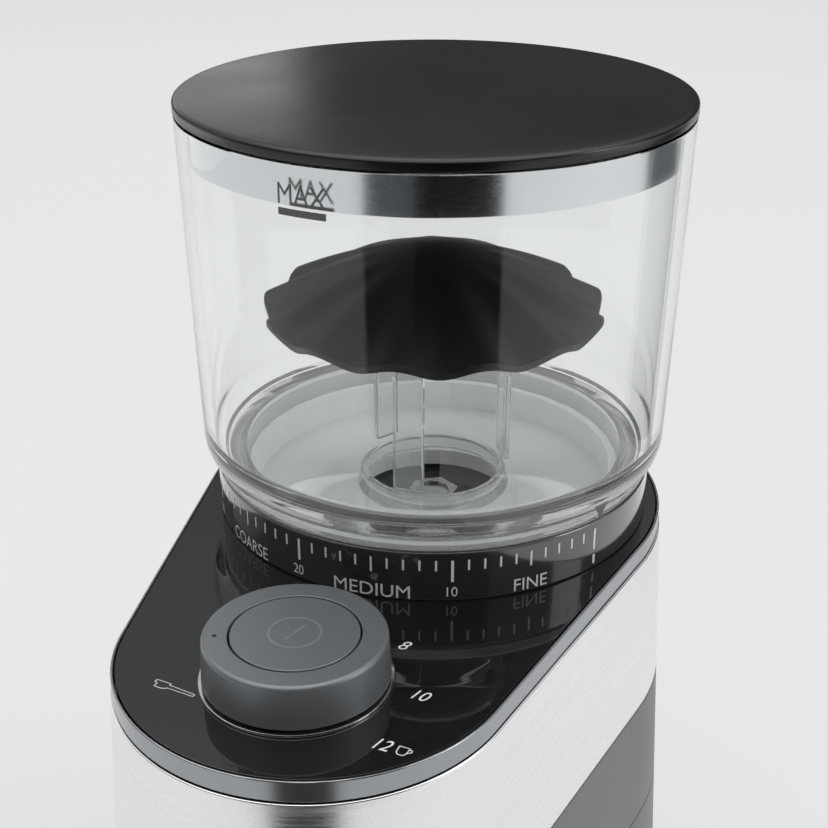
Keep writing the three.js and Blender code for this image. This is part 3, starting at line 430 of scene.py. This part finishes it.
# Ground burr steel: bright, with the stone's fine marks across the cutting edges.
burr_steel = metal("ground_burr_steel", "#a9abad", 0.28, 0.8 * MM, (1, 1, 12))
# Shaft steel: brighter still, with turning marks round it.
shaft_steel = metal("bright_shaft_steel", "#c3c5c7", 0.22, 0.5 * MM, (1, 1, 10))
# Enamelled copper: red brown, ribbed by its turns.
copper = metal("enamelled_copper_wire", "#b0623a", 0.34, 0.6 * MM, (1, 1, 12), 0.03 * MM)
# Turned brass: a clear yellow beside the steel.
brass = metal("turned_brass", "#c2a25c", 0.3, 0.5 * MM, (1, 1, 10))
# Pressed ferrite: black and dull, like fired clay.
ferrite = moulded("pressed_ferrite", "#2b2b2d", "#333335", 0.7, 0.4 * MM, 0.02 * MM)
# Pale ABS: light and matt, so that the gearbox and the chamber read as one set.
pale_abs = moulded("pale_grey_abs", "#b9bbbc", "#b1b3b4", 0.5, 0.6 * MM, 0.02 * MM)
# White acetal: a clean white that lights the hopper's floor from below.
white_acetal = moulded("white_acetal", "#ececed", "#e6e7e8", 0.4, 0.8 * MM, 0.01 * MM, ior=1.48)
# Silicone rubber: dark and soft, without a sharp highlight.
silicone = moulded("silicone_rubber", "#3a3b3d", "#414244", 0.65, 0.5 * MM, 0.01 * MM, ior=1.42)
# Solder mask over glass cloth: green, half shiny, with the weave just showing.
board_green = moulded("green_solder_mask", "#1f5a3a", "#1b5034", 0.35, 0.7 * MM, 0.02 * MM)
dress(charcoal_nylon, "burr_carrier")
dress(black_abs, "top_frame", "start_switch", "motor_end_cap", "hopper_switch")
dress(burr_steel, "cone_burr", "ring_burr", "burr_nut")
dress(shaft_steel, "output_shaft", "idler_pin", "motor_shaft", "upper_bearing", "lower_bearing")
dress(shaft_steel, "button_spring")
dress(zinc_plate, "motor_can")
dress(nylon, "output_gear", "idler_gear", "dial_shaft")
dress(brass, "motor_pinion", "commutator")
dress(copper, "armature")
dress(ferrite, "magnet_right", "magnet_left")
dress(board_green, "control_board", "power_board")
dress(pale_abs, "grinding_chamber", "ground_chute", "sweeper", "gearbox_housing", "gearbox_cover")
dress(pale_abs, "dial_encoder")
dress(silicone, "burr_seal")
dress(rubber, "cord_gland")
dress(white_acetal, "adjusting_ring")


# Bezel: ABS with a satin grey metallic lacquer. It clips to the frame, and a ledge inside it
# carries the deck. Its upper edge is finely rounded and catches the light.
def lacquered(name, colour, roughness, metallic, flake):
    """A metallic lacquer: fine flakes vary the tone a little, and the coat is satin."""
    material, tree, place = start_material(name)
    flakes = add_node(tree, "ShaderNodeTexNoise", {"Vector": place, "Scale": 1 / flake, "Detail": 2.0})
    relief = add_node(tree, "ShaderNodeBump", {
        "Height": flakes.outputs["Fac"], "Strength": 0.25, "Distance": 0.01 * MM,
    })
    shader = add_node(tree, "ShaderNodeBsdfPrincipled", {
        "Base Color": linear(colour), "Metallic": metallic, "Roughness": roughness,
        "Normal": relief.outputs["Normal"],
    })
    add_node(tree, "ShaderNodeOutputMaterial", {"Surface": shader.outputs["BSDF"]})
    return material


bezel_grey = lacquered("satin_grey_lacquer", "#a3a6a9", 0.22, 0.92, 0.35 * MM)
bezel_bottom, rim, ledge, ledge_level = node_height("bezel", 0), 0.6, 4, -2.8
surround = carried_round([
    (0, bezel_bottom), (0, 0), (-rim, 0), (-rim, ledge_level), (-ledge, ledge_level), (-ledge, bezel_bottom),
])
make_piece("bezel_surround", soften(surround, 0.25), "housing", bezel_grey, "bezel_grey", "bezel")


# Deck: a flat panel of black PMMA, laser cut and polished, dropped in the bezel. Round openings
# pass the adjusting ring and the dial's shaft.
def polished(name, colour, roughness, ior, coat=0.0):
    """A polished solid colour, with the faint long waves that moulding leaves in a gloss face."""
    wave_length = 40 * MM
    material, tree, place = start_material(name)
    waves = add_node(tree, "ShaderNodeTexNoise", {"Vector": place, "Scale": 1 / wave_length, "Detail": 1.0})
    relief = add_node(tree, "ShaderNodeBump", {
        "Height": waves.outputs["Fac"], "Strength": 0.1, "Distance": 0.04 * MM,
    })
    shader = add_node(tree, "ShaderNodeBsdfPrincipled", {
        "Base Color": linear(colour), "Roughness": roughness, "IOR": ior, "Coat Weight": coat,
        "Coat Roughness": 0.03, "Normal": relief.outputs["Normal"],
    })
    add_node(tree, "ShaderNodeOutputMaterial", {"Surface": shader.outputs["BSDF"]})
    return material


# Polished black PMMA: a dark mirror, in which the ring and its lettering stand upside down.
black_gloss = polished("polished_black_pmma", "#17181a", 0.03, 1.62)
dial_centre = underside("cup_dial")
dial_centre.z = axis.z
panel_gap, panel_thickness, ring_opening, shaft_opening = 0.9, 2.5, 49.8, 8
panel = carried_round([(-panel_gap, -panel_thickness), (-panel_gap, 0)], closed=False)
bmesh.ops.delete(panel, geom=panel.faces, context="FACES_ONLY")
upper = [e for e in panel.edges if all(v.co.z > axis.z - 0.1 * MM for v in e.verts)]
bmesh.ops.delete(panel, geom=[e for e in panel.edges if e not in upper], context="EDGES")
for centre, radius in ((axis, ring_opening), (dial_centre, shaft_opening)):
    bmesh.ops.create_circle(panel, segments=96, radius=radius * MM, matrix=Matrix.Translation(centre))
sheet = bmesh.ops.triangle_fill(panel, edges=panel.edges, use_beauty=True)
faces = [item for item in sheet["geom"] if isinstance(item, bmesh.types.BMFace)]
lowered = bmesh.ops.extrude_face_region(panel, geom=faces)
lowered_points = [v for v in lowered["geom"] if isinstance(v, bmesh.types.BMVert)]
bmesh.ops.translate(panel, vec=(0, 0, -panel_thickness * MM), verts=lowered_points)
bmesh.ops.recalc_face_normals(panel, faces=panel.faces)
soften(panel, 0.15, angle=60, segments=2)
make_piece("deck_gloss_panel", panel, "housing", black_gloss, "gloss_black", "deck_panel")


# Deck prints: cup counts and two signs, screen printed in one pass of white ink. They sit round
# the dial, at the marks that its pointer stops at.
def as_mesh(curve):
    """The mesh of a curve or text."""
    holder = bpy.data.objects.new("holder", curve)
    bpy.context.scene.collection.objects.link(holder)
    graph = bpy.context.evaluated_depsgraph_get()
    mesh = bpy.data.meshes.new_from_object(holder.evaluated_get(graph))
    bpy.data.objects.remove(holder)
    return mesh


def lettering(words, width, height, slant=0.0):
    """Flat lettering in a plain face as a mesh, its foot's middle at the centre. Sizes in metres."""
    capital_share = 0.69  # a capital's height, as a share of the font's size
    text = bpy.data.curves.new("lettering", "FONT")
    text.body = words
    text.align_x, text.align_y = "CENTER", "BOTTOM_BASELINE"
    text.size, text.shear = height / capital_share, slant
    text.resolution_u = 6
    mesh = as_mesh(text)
    across = [v.co.x for v in mesh.vertices]
    mesh.transform(Matrix.Translation((-(max(across) + min(across)) / 2, 0, 0)))
    mesh.transform(Matrix.Diagonal((width / (max(across) - min(across)), 1, 1, 1)))
    return mesh


def stroke(points, width):
    """A line of an even width through (x, y) points in metres, laid flat with round joints."""
    curve = bpy.data.curves.new("stroke", "CURVE")
    curve.dimensions = "3D"
    line = curve.splines.new("POLY")
    line.points.add(len(points) - 1)
    for point, (x, y) in zip(line.points, points):
        point.co = (x, y, 0, 1)
    curve.bevel_mode, curve.bevel_depth, curve.bevel_resolution = "ROUND", width / 2, 1
    curve.use_fill_caps = True
    mesh = as_mesh(curve)
    mesh.transform(Matrix.Diagonal((1, 1, 0.1, 1)))
    return mesh


def gathered(meshes):
    """Joins meshes into one shape."""
    shape = bmesh.new()
    for mesh in meshes:
        shape.from_mesh(mesh)
        bpy.data.meshes.remove(mesh)
    return shape


# White screen ink: a soft white film, slightly rough.
white_ink = moulded("white_screen_ink", "#e9ebec", "#dfe1e2", 0.4, 0.3 * MM, 0.003 * MM)
ink_proud = 0.05 * MM
print_turn, print_slant = math.radians(-5), 0.28
deck_marks = []


def lay_on_deck(mesh, middle, turn):
    """Lays a flat print on the deck, with its centre at (x, y) millimetres from the hopper's axis."""
    place = axis + Vector((*middle, 0)) * MM + Vector((0, 0, ink_proud))
    mesh.transform(Matrix.Translation(place) @ Matrix.Rotation(turn, 4, "Z"))
    deck_marks.append(mesh)


# Each count's width and height, and its distance and bearing from the dial's centre. The last
# count stands beside its cup, so it is placed from the hopper's axis.
dial_place = (dial_centre - axis) / MM
dial_counts = [
    ("10", 3.6, 3.1, 26.1, 0.087), ("8", 2.3, 3.1, 24.5, 0.803), ("6", 2.2, 3.1, 25, 1.466),
    ("4", 2.2, 3.1, 25, 2.147), ("2", 2.2, 3.1, 25, 2.827),
]
for words, width, height, middle in (
    ("12", 3.4, 3.3, (24.2, -100.5)),
    *((words, width, height, (
        dial_place.x + reach * math.cos(bearing), dial_place.y + reach * math.sin(bearing),
    )) for words, width, height, reach, bearing in dial_counts),
):
    mark = lettering(words, width * MM, height * MM, slant=print_slant)
    mark.transform(Matrix.Translation((0, -height / 2 * MM, 0)))
    lay_on_deck(mark, middle, print_turn)
cup = [(-1.5, 1.2), (0.7, 1.2), (0.6, -0.6), (0.1, -1.2), (-0.9, -1.2), (-1.4, -0.6), (-1.5, 1.2)]
handle = [(0.7, 0.9), (1.3, 0.8), (1.4, 0.2), (0.65, -0.3)]
portafilter = [
    (-5, 0.4), (-5, 1.2), (-1.6, 1.2), (-1.6, 0.7), (4.6, 0.4), (4.8, 0), (4.6, -0.3), (-1.6, -0.3),
    (-1.6, -0.5), (-2.6, -0.9), (-4.3, -0.9), (-4.3, 0.2), (-5, 0.4),
]
sign_line = 0.24 * MM
for line, middle, turn in (
    (cup, (28.6, -101.1), print_turn), (handle, (28.6, -101.1), print_turn),
    (portafilter, (-21.4, -97.9), math.radians(-7.8)),
):
    lay_on_deck(stroke([(x * MM, y * MM) for x, y in line], sign_line), middle, turn)
make_piece("deck_prints", gathered(deck_marks), "housing", white_ink, "pale_grey")


# Grind scale ring: charcoal ABS, turned after moulding and lacquered to a gloss. It is screwed
# to the frame, stands clear of the deck by a hair, and the hopper's neck turns on it.
def plain_ring(inner, outer, low, high, centre, steps=96):
    """A ring of square section between two radii and two heights, in millimetres, about a centre."""
    return turned([(inner, low), (outer, low), (outer, high), (inner, high), (inner, low)], centre, steps)


# Charcoal gloss lacquer: dark and clear coated, so that its lower edge mirrors in the deck.
charcoal_gloss = polished("charcoal_gloss_lacquer", "#2c2e31", 0.14, 1.75, coat=1.0)
ring_out, ring_wall = (ring_high.y - ring_low.y) / 2 / MM, 3.6
ring_base, ring_top = node_height("scale_ring", 0), node_height("scale_ring", 1)
hoop = plain_ring(ring_out - ring_wall, ring_out, ring_base, ring_top, axis, steps=160)
make_piece("scale_ring_hoop", soften(hoop, 0.5), "housing", charcoal_gloss, "charcoal", "scale_ring")


# Scale prints: a mark for each of the thirty steps and plain words, tampo printed in white
# round the ring, so that they lie on its curve.
def wrapped(mesh, radius, angle, base):
    """Wraps a flat mesh on an upright cylinder about the hopper's axis, its middle at an angle."""
    longest_edge = 1.2 * MM
    shape = bmesh.new()
    shape.from_mesh(mesh)
    bpy.data.meshes.remove(mesh)
    bmesh.ops.triangulate(shape, faces=shape.faces)
    for _ in range(2):
        long_edges = [e for e in shape.edges if e.calc_length() > longest_edge]
        if long_edges:
            bmesh.ops.subdivide_edges(shape, edges=long_edges, cuts=1)
    for vertex in shape.verts:
        turn = angle + vertex.co.x / radius
        vertex.co = axis + Vector((radius * math.cos(turn), radius * math.sin(turn), base + vertex.co.y))
    return meshed(shape, "bent")


def plain_bar(width, height):
    """A flat bar with its lower edge on the baseline."""
    shape = bmesh.new()
    spread = Matrix.Diagonal((width, height, 1, 1))
    bmesh.ops.create_grid(shape, x_segments=2, y_segments=1, size=0.5, matrix=spread)
    bmesh.ops.translate(shape, vec=(0, height / 2, 0), verts=shape.verts)
    return meshed(shape, "bar")


scale_radius = ring_out * MM + ink_proud
first_mark, mark_pitch, marks_top = -27.7, 3.896, 10.4
scale_marks = []
for step in range(31):
    wide, tall = (0.6, 5.4) if step % 10 == 0 else (0.45, 3.7) if step % 5 == 0 else (0.45, 2.6)
    angle = math.radians(first_mark - mark_pitch * step)
    scale_marks.append(wrapped(plain_bar(wide * MM, tall * MM), scale_radius, angle, (marks_top - tall) * MM))
# Each word's bearing in degrees, and its foot's height, its width and its height in millimetres.
for words, degrees, base, width, height in (
    ("1", -27.6, 1.3, 0.7, 2.4), ("10", -66.7, 1.3, 2.4, 2.4), ("20", -106, 1.3, 2.8, 2.4),
    ("30", -144.6, 1.3, 2.8, 2.4), ("FINE", -47.05, 0.8, 8.2, 3.1), ("MEDIUM", -86.2, 0.6, 17.6, 3.2),
    ("COARSE", -124.85, 0.6, 14.9, 3.2),
):
    words_mesh = lettering(words, width * MM, height * MM)
    scale_marks.append(wrapped(words_mesh, scale_radius, math.radians(degrees), base * MM))
make_piece("scale_prints", gathered(scale_marks), "housing", white_ink, "pale_grey")


# Cup dial: zinc, die cast and turned, with a satin lacquer. A ring of bright chrome plate lies
# round its foot, and a recessed dot near its edge is its pointer.
dial_low, dial_high = node_height("cup_dial", 0), node_height("cup_dial", 1)
dial_radius, dial_draft, hollow_radius = 18.8, 0.4, 9
well_radius, well_floor, plunger_hole, well_wall = 13.5, 4.0, 2.6, 1.5
# Satin charcoal lacquer: a dark grey with a metallic sheen that fades slowly round the side.
satin_lacquer = lacquered("satin_charcoal_lacquer", "#7f8386", 0.4, 0.6, 0.3 * MM)
cap = turned([
    (hollow_radius, dial_low), (dial_radius + dial_draft, dial_low), (dial_radius, dial_high),
    (well_radius, dial_high), (well_radius, well_floor), (plunger_hole, well_floor),
    (plunger_hole, well_floor - well_wall), (hollow_radius, well_floor - well_wall),
    (hollow_radius, dial_low),
], dial_centre, steps=128)
rims = [
    e for e in cap.edges
    if all(abs((v.co.z - axis.z) / MM - dial_high) < 0.01 for v in e.verts)
    and e.calc_face_angle(0) > 1
]
middle_of_rim = (well_radius + dial_radius) / 2 * MM
outer_rim = [e for e in rims if (e.verts[0].co - dial_centre).to_2d().length > middle_of_rim]
inner_rim = [e for e in rims if e not in outer_rim]
for edges, width in ((outer_rim, 1.0), (inner_rim, 0.25)):
    bmesh.ops.bevel(
        cap, geom=edges, offset=width * MM, segments=5, profile=0.5,
        affect="EDGES", clamp_overlap=True, material=-1,
    )
make_piece("dial_cap", cap, "dial", satin_lacquer, "satin_dial", "cup_dial")

dot_angle, dot_reach, dot_radius, dot_height = math.radians(-156.4), 16, 0.5, 0.03
dot_place = dial_centre + MM * Vector((
    dot_reach * math.cos(dot_angle), dot_reach * math.sin(dot_angle), dial_high + 0.01,
))
dot = turned([
    (0, dot_height), (dot_radius - 0.08, dot_height), (dot_radius, 0), (0, 0),
], dot_place, steps=24)
# Black ink in the drilled dot: dull and dark.
black_ink = moulded("black_dot_ink", "#0d0d0e", "#121213", 0.6, 0.2 * MM, 0.002 * MM)
make_piece("dial_pointer_dot", soften(dot, 0.01), "dial", black_ink, "plastic_black")

# Bright chrome plate: a mirror with a cool tone, as thin as a line here.
chrome_plate = metal("bright_chrome_plate", "#e6e8ea", 0.1, 3.0 * MM)
trim_in, trim_out, trim_base, trim_top = 17.5, 19.9, 0.05, 0.6
trim = plain_ring(trim_in, trim_out, trim_base, trim_top, dial_centre, steps=128)
soften(trim, 0.15, segments=2)
make_piece("dial_foot_ring", trim, "housing", chrome_plate, "chrome", "knob_trim")


# Start button: a die-cast cap in the dial's well, in the same satin lacquer, on a plunger and a
# spring. Its sign, a ring with a bar in it, is etched through to a paler grey.
plunger_foot, button_top = node_height("start_button", 0), node_height("start_button", 1)
button_radius, plunger_radius, button_under = 13.1, 2.2, button_top - 2.5
push = turned([
    (0, plunger_foot), (plunger_radius, plunger_foot), (plunger_radius, button_under),
    (button_radius, button_under), (button_radius, button_top), (0, button_top),
], dial_centre, steps=128)
make_piece("button_cap", soften(push, 0.25), "button", satin_lacquer, "satin_dial", "start_button")

sign_radius, bar_reach, bar_turn, sign_steps = 5.3 * MM, 3.1 * MM, math.radians(72), 64
turns = [2 * math.pi * i / sign_steps for i in range(sign_steps + 1)]
ring_points = [(sign_radius * math.cos(turn), sign_radius * math.sin(turn)) for turn in turns]
bar_points = [(end * math.cos(bar_turn), end * math.sin(bar_turn)) for end in (-bar_reach, bar_reach)]
sign = gathered([stroke(ring_points, 0.6 * MM), stroke(bar_points, 0.7 * MM)])
bmesh.ops.translate(sign, vec=dial_centre + Vector((0, 0, (button_top + 0.02) * MM)), verts=sign.verts)
# Etched lacquer: the bare casting shows, paler and duller than the satin round it.
etched = lacquered("etched_zinc", "#8d9092", 0.45, 0.6, 0.3 * MM)
make_piece("button_sign", sign, "button", etched, "satin_dial")


# Hopper: one tub of clear copolyester, injection moulded and polished. Its floor slopes to a throat,
# its neck rests on the scale ring, and its skirt reaches into the ring and carries the catches.
hopper_top, shoulder = node_height("hopper", 1), ring_top + 0.4
foot_radius, foot_level, rim_radius = 56, 20.5, 58.3


def arc_points(start, corner, end, count=10):
    """Points on a smooth corner between two (radius, height) points."""
    points = []
    for i in range(count + 1):
        t = i / count
        points.append(tuple(
            (1 - t) ** 2 * a + 2 * t * (1 - t) * b + t ** 2 * c for a, b, c in zip(start, corner, end)
        ))
    return points


# (radius, height) points: skirt and shoulder, outer wall, rim and inner wall, floor, throat.
tub = turned([
    (46.6, 4.0), (48.8, 4.0), (48.8, shoulder), (ring_out, shoulder),
    *arc_points((ring_out, 15.5), (55.7, 16.5), (foot_radius, foot_level)),
    (57.15, 59), (rim_radius, hopper_top), (rim_radius - 2.2, hopper_top), (54.95, 60),
    *arc_points((53.8, 24), (52.6, 18.5), (48, 17.5)),
    (16.3, 7.2), (16.3, 3.2), (18.3, 3.2), (18.3, 5.5), (46.6, 14.8), (46.6, 4.0),
], axis, steps=192)
# Clear copolyester: nearly colourless, with faint flow waves, and hazy where the foot is thick.
haze_top, haze_radius = axis.z + 22 * MM, 50 * MM
clear_copolyester = clear_plastic(
    "clear_copolyester", "#fcfdfd", 0.0, 1.36, 0.02 * MM, hazy_foot=(haze_top, haze_radius),
)
make_piece("hopper_tub", soften(tub, 0.35), "hopper", clear_copolyester, "clear", "hopper")


# Hopper prints: a filling mark with its line, and an arrow that points at the scale. Both are
# tampo printed in dark grey ink on the clear wall.

# Dark grey ink: flat and soft against the bright collar behind it.
dark_ink = moulded("dark_grey_ink", "#55585b", "#5b5e61", 0.5, 0.3 * MM, 0.003 * MM)
fill_level, fill_angle, fill_width = 91, math.radians(-97.95), 10.9 * MM
wall_share = (fill_level - foot_level) / (hopper_top - foot_level)
wall_radius = (foot_radius + (rim_radius - foot_radius) * wall_share + 0.06) * MM
arrow = bmesh.new()
pointing_down = Matrix.Rotation(math.pi, 4, "Z")
bmesh.ops.create_circle(arrow, cap_ends=True, segments=3, radius=2.7 * MM, matrix=pointing_down)
hopper_marks = [
    wrapped(lettering("MAX", fill_width, 4.3 * MM), wall_radius, fill_angle, 89.6 * MM),
    wrapped(plain_bar(fill_width, 1.5 * MM), wall_radius, fill_angle, 87.3 * MM),
    wrapped(meshed(arrow, "arrow"), 55.1 * MM, math.radians(-28.6), 16.8 * MM),
]
make_piece("hopper_prints", gathered(hopper_marks), "hopper", dark_ink, "charcoal")


# Bean guard: a ruffled umbrella of charcoal ABS over the throat. It keeps the beans' weight off
# the burrs and fingers out. Three clear posts on a hub ring carry it.
guard_radius, guard_crown, guard_fall, guard_wall = 41, 65, 15, 1.8
waves, wave_height, wave_depth, smooth_crown = 13, 1.2, 0.9, 12


def ruffle(radius):
    """How much of its full ruffle the guard has at a radius: none in the crown, all at the rim."""
    return max(0, (radius - smooth_crown) / (guard_radius - smooth_crown)) ** 1.4


radii = [guard_radius * i / 22 for i in range(23)]
canopy = turned(
    [(r, -guard_wall) for r in radii] + [(r, 0) for r in reversed(radii)], axis, steps=waves * 20,
)
for vertex in canopy.verts:
    out = vertex.co - axis
    radius, angle = out.to_2d().length / MM, math.atan2(out.y, out.x)
    swing = math.cos(waves * angle)
    dome_height = guard_crown - guard_fall * (radius / guard_radius) ** 1.5
    vertex.co.z += (dome_height + wave_height * ruffle(radius) * swing) * MM
    drawn_in = wave_depth * ruffle(radius) * (swing - 1) * MM
    vertex.co += Vector((math.cos(angle), math.sin(angle), 0)) * drawn_in
bmesh.ops.recalc_face_normals(canopy, faces=canopy.faces)
# Satin charcoal ABS: dark, with a soft broad highlight on each fold.
charcoal_abs = moulded("satin_charcoal_abs", "#1e2124", "#222528", 0.42, 1.2 * MM, 0.004 * MM)
soften(canopy, 0.5, angle=60)
make_piece("guard_canopy", canopy, "hopper", charcoal_abs, "guard_grey", "bean_guard", sharp=50)

hub_in, hub_out, hub_thickness, hub_top = 16.6, 19, 1.6, node_height("guard_legs", 1)
hub = plain_ring(hub_in, hub_out, hub_top - hub_thickness, hub_top, axis)
post_thickness, post_width, post_reach = 1.9 * MM, 7.5 * MM, 17.95 * MM
post_low, post_high = node_height("guard_legs", 0) * MM, (hub_top - hub_thickness / 2) * MM
for i in range(3):
    post = bmesh.new()
    spread = Matrix.Diagonal((post_thickness, post_width, post_high - post_low, 1))
    bmesh.ops.create_cube(post, size=1, matrix=spread)
    soften(post, 0.5)
    standing = Matrix.Translation(axis + Vector((0, 0, (post_high + post_low) / 2)))
    turned_round = Matrix.Rotation(-math.pi / 2 + i * 2 * math.pi / 3, 4, "Z")
    moved_out = Matrix.Translation((post_reach, 0, 0))
    bmesh.ops.transform(post, matrix=standing @ turned_round @ moved_out, verts=post.verts)
    mesh = meshed(post, "post")
    hub.from_mesh(mesh)
    bpy.data.meshes.remove(mesh)
make_piece("guard_posts", hub, "hopper", clear_copolyester, "clear", "guard_legs")


# Lid: a shallow dome of charcoal ABS, moulded and satin lacquered. A collar of polished
# stainless strip is pressed in its underside and centres it in the hopper.
lid_radius, lid_base, lid_top, dome_rise = 58.4, node_height("lid", 0), node_height("lid", 1), 0.7
dome = [(lid_radius * (1 - i / 10), lid_top - dome_rise * (1 - i / 10) ** 2) for i in range(1, 11)]
rounded_edge = [(0, 1.6), (0.15, 1.2), (0.6, 0.9), (1.6, 0.72)]  # in from the edge, down from the top
cover = turned([
    (0, lid_base), (lid_radius - 0.4, lid_base), (lid_radius, lid_base + 0.4),
    *((lid_radius - inwards, lid_top - down) for inwards, down in rounded_edge), *dome,
], axis, steps=192)
# Satin charcoal lid: nearly black, with one soft broad highlight across its dome.
satin_lid = moulded("satin_charcoal_lid", "#0a0c0d", "#0c0e0f", 0.27, 0.3 * MM, 0.003 * MM)
make_piece("lid_cover", cover, "lid", satin_lid, "charcoal", "lid", sharp=60)

collar_in, collar_out = 54.3, 55.5
collar_low, collar_top = node_height("lid_collar", 0), node_height("lid_collar", 1)
collar = plain_ring(collar_in, collar_out, collar_low, collar_top, axis, steps=192)
# Polished stainless strip: mirrors the room as upright light and dark stripes.
polished_steel = metal("polished_stainless", "#e3e5e7", 0.19, 1.5 * MM, (1, 1, 8), 0.001 * MM)
soften(collar, 0.25, segments=2)
make_piece("lid_steel_collar", collar, "lid", polished_steel, "chrome", "lid_collar")


# Floor: plain and pale, and wide enough to fill the camera's view.
def stage_sheet(name, matrix):
    """A flat sheet of the stage, one metre square before a matrix places it."""
    shape = bmesh.new()
    bmesh.ops.create_grid(shape, x_segments=1, y_segments=1, size=0.5, matrix=matrix)
    sheet = bpy.data.objects.new(name, meshed(shape, name))
    bpy.context.scene.collection.objects.link(sheet)
    return sheet


floor_width, floor_gap = 12, 0.5 * MM
floor_place = Matrix.Translation((0, 0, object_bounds()[0].z - floor_gap))
floor = stage_sheet("floor", floor_place @ Matrix.Scale(floor_width, 4))
# Pale matt paint, lit from within as well, so that it stays even from edge to edge.
floor_paint, tree, _ = start_material("pale_matt_paint")
paint = add_node(tree, "ShaderNodeBsdfPrincipled", {
    "Base Color": linear("#9a9b9c"), "Roughness": 1.0, "Specular IOR Level": 0.0,
    "Emission Color": linear("#ffffff"), "Emission Strength": 0.45,
})
add_node(tree, "ShaderNodeOutputMaterial", {"Surface": paint.outputs["BSDF"]})
floor.data.materials.append(floor_paint)


# Studio light: a surround that is dim at the sides and bright overhead, a wide softbox above, a
# low key box behind on the left for the lid's highlight, a strip on each side and a box on the right.
world = bpy.data.worlds.new("studio")
bpy.context.scene.world = world
world.use_nodes = True
sky = world.node_tree
sky.nodes.clear()
direction = add_node(sky, "ShaderNodeTexCoord").outputs["Generated"]
upward = add_node(sky, "ShaderNodeSeparateXYZ", {"Vector": direction})
fade = add_node(sky, "ShaderNodeMapRange", {
    "Value": upward.outputs["Z"], "From Min": 0.28, "From Max": 0.85, "To Min": 0.06, "To Max": 0.9,
})
ambient = add_node(sky, "ShaderNodeBackground", {
    "Color": linear("#ffffff"), "Strength": fade.outputs["Result"],
})
add_node(sky, "ShaderNodeOutputWorld", {"Surface": ambient.outputs["Background"]})


def softbox(name, place, aim, size, power):
    """An area light at a place, turned to a point, both in metres from the hopper's axis at the deck."""
    light = bpy.data.lights.new(name, "AREA")
    light.shape, light.size, light.size_y, light.energy = "RECTANGLE", size[0], size[1], power
    lamp = bpy.data.objects.new(name, light)
    lamp.location = axis + Vector(place)
    lamp.rotation_euler = (Vector(aim) - Vector(place)).to_track_quat("-Z", "Y").to_euler()
    lamp.visible_transmission = False
    bpy.context.scene.collection.objects.link(lamp)


softbox("top_box", (0, 0.2, 2.6), (0, 0.2, 0), (4, 4), 46)
softbox("key_box", (-0.95, 1.2, 0.42), (0, 0, 0.1), (0.7, 0.2), 0.7)
softbox("left_strip", (-0.7, 0.05, 0.12), (0, 0, 0.02), (0.4, 0.5), 0.5)
softbox("right_strip", (0.75, 0.1, 0.12), (0, 0, 0.02), (0.4, 0.5), 0.5)
softbox("side_box", (1.6, 0.1, 0.7), (0, 0, 0), (0.5, 0.9), 5)

# Black felt and grey board: dull cards that only reflections see. They are clear to a ray that
# has met no glossy surface, so that they don't show through the hopper from behind. The rows give
# a bearing from the body's front round end in degrees, a distance, a width, a bottom and a top
# in metres, and a shade.
for name, bearing, away, width, bottom, top, shade in (
    ("low_black_card", -74, 0.155, 0.085, 0.0, 0.11, "#070808"),
    ("high_grey_card", -88, 0.155, 0.08, 0.11, 0.36, "#5c5f62"),
    ("high_black_card", -51, 0.155, 0.135, 0.11, 0.36, "#050505"),
    ("side_grey_card", 50, 0.45, 0.2, 0.0, 0.2, "#6f7173"),
):
    facing = math.radians(bearing)
    outwards = Vector((math.cos(facing), math.sin(facing), 0))
    card_place = Matrix.Translation(Vector((nose.x, nose.y, (bottom + top) / 2)) + away * outwards)
    stood = Matrix.Rotation(facing + math.pi / 2, 4, "Z") @ Matrix.Rotation(math.pi / 2, 4, "X")
    card = stage_sheet(name, card_place @ stood @ Matrix.Diagonal((width, top - bottom, 1, 1)))
    card.visible_camera = card.visible_diffuse = card.visible_shadow = False
    felt, tree, _ = start_material(name)
    nap = add_node(tree, "ShaderNodeBsdfDiffuse", {"Color": linear(shade)})
    unseen = add_node(tree, "ShaderNodeBsdfTransparent")
    rays = add_node(tree, "ShaderNodeLightPath")
    seen_in_gloss = add_node(tree, "ShaderNodeMixShader", {
        0: rays.outputs["Glossy Depth"], 1: unseen.outputs["BSDF"], 2: nap.outputs["BSDF"],
    })
    add_node(tree, "ShaderNodeOutputMaterial", {"Surface": seen_in_gloss.outputs["Shader"]})
    card.data.materials.append(felt)
bpy.context.scene.view_settings.view_transform = "Standard"
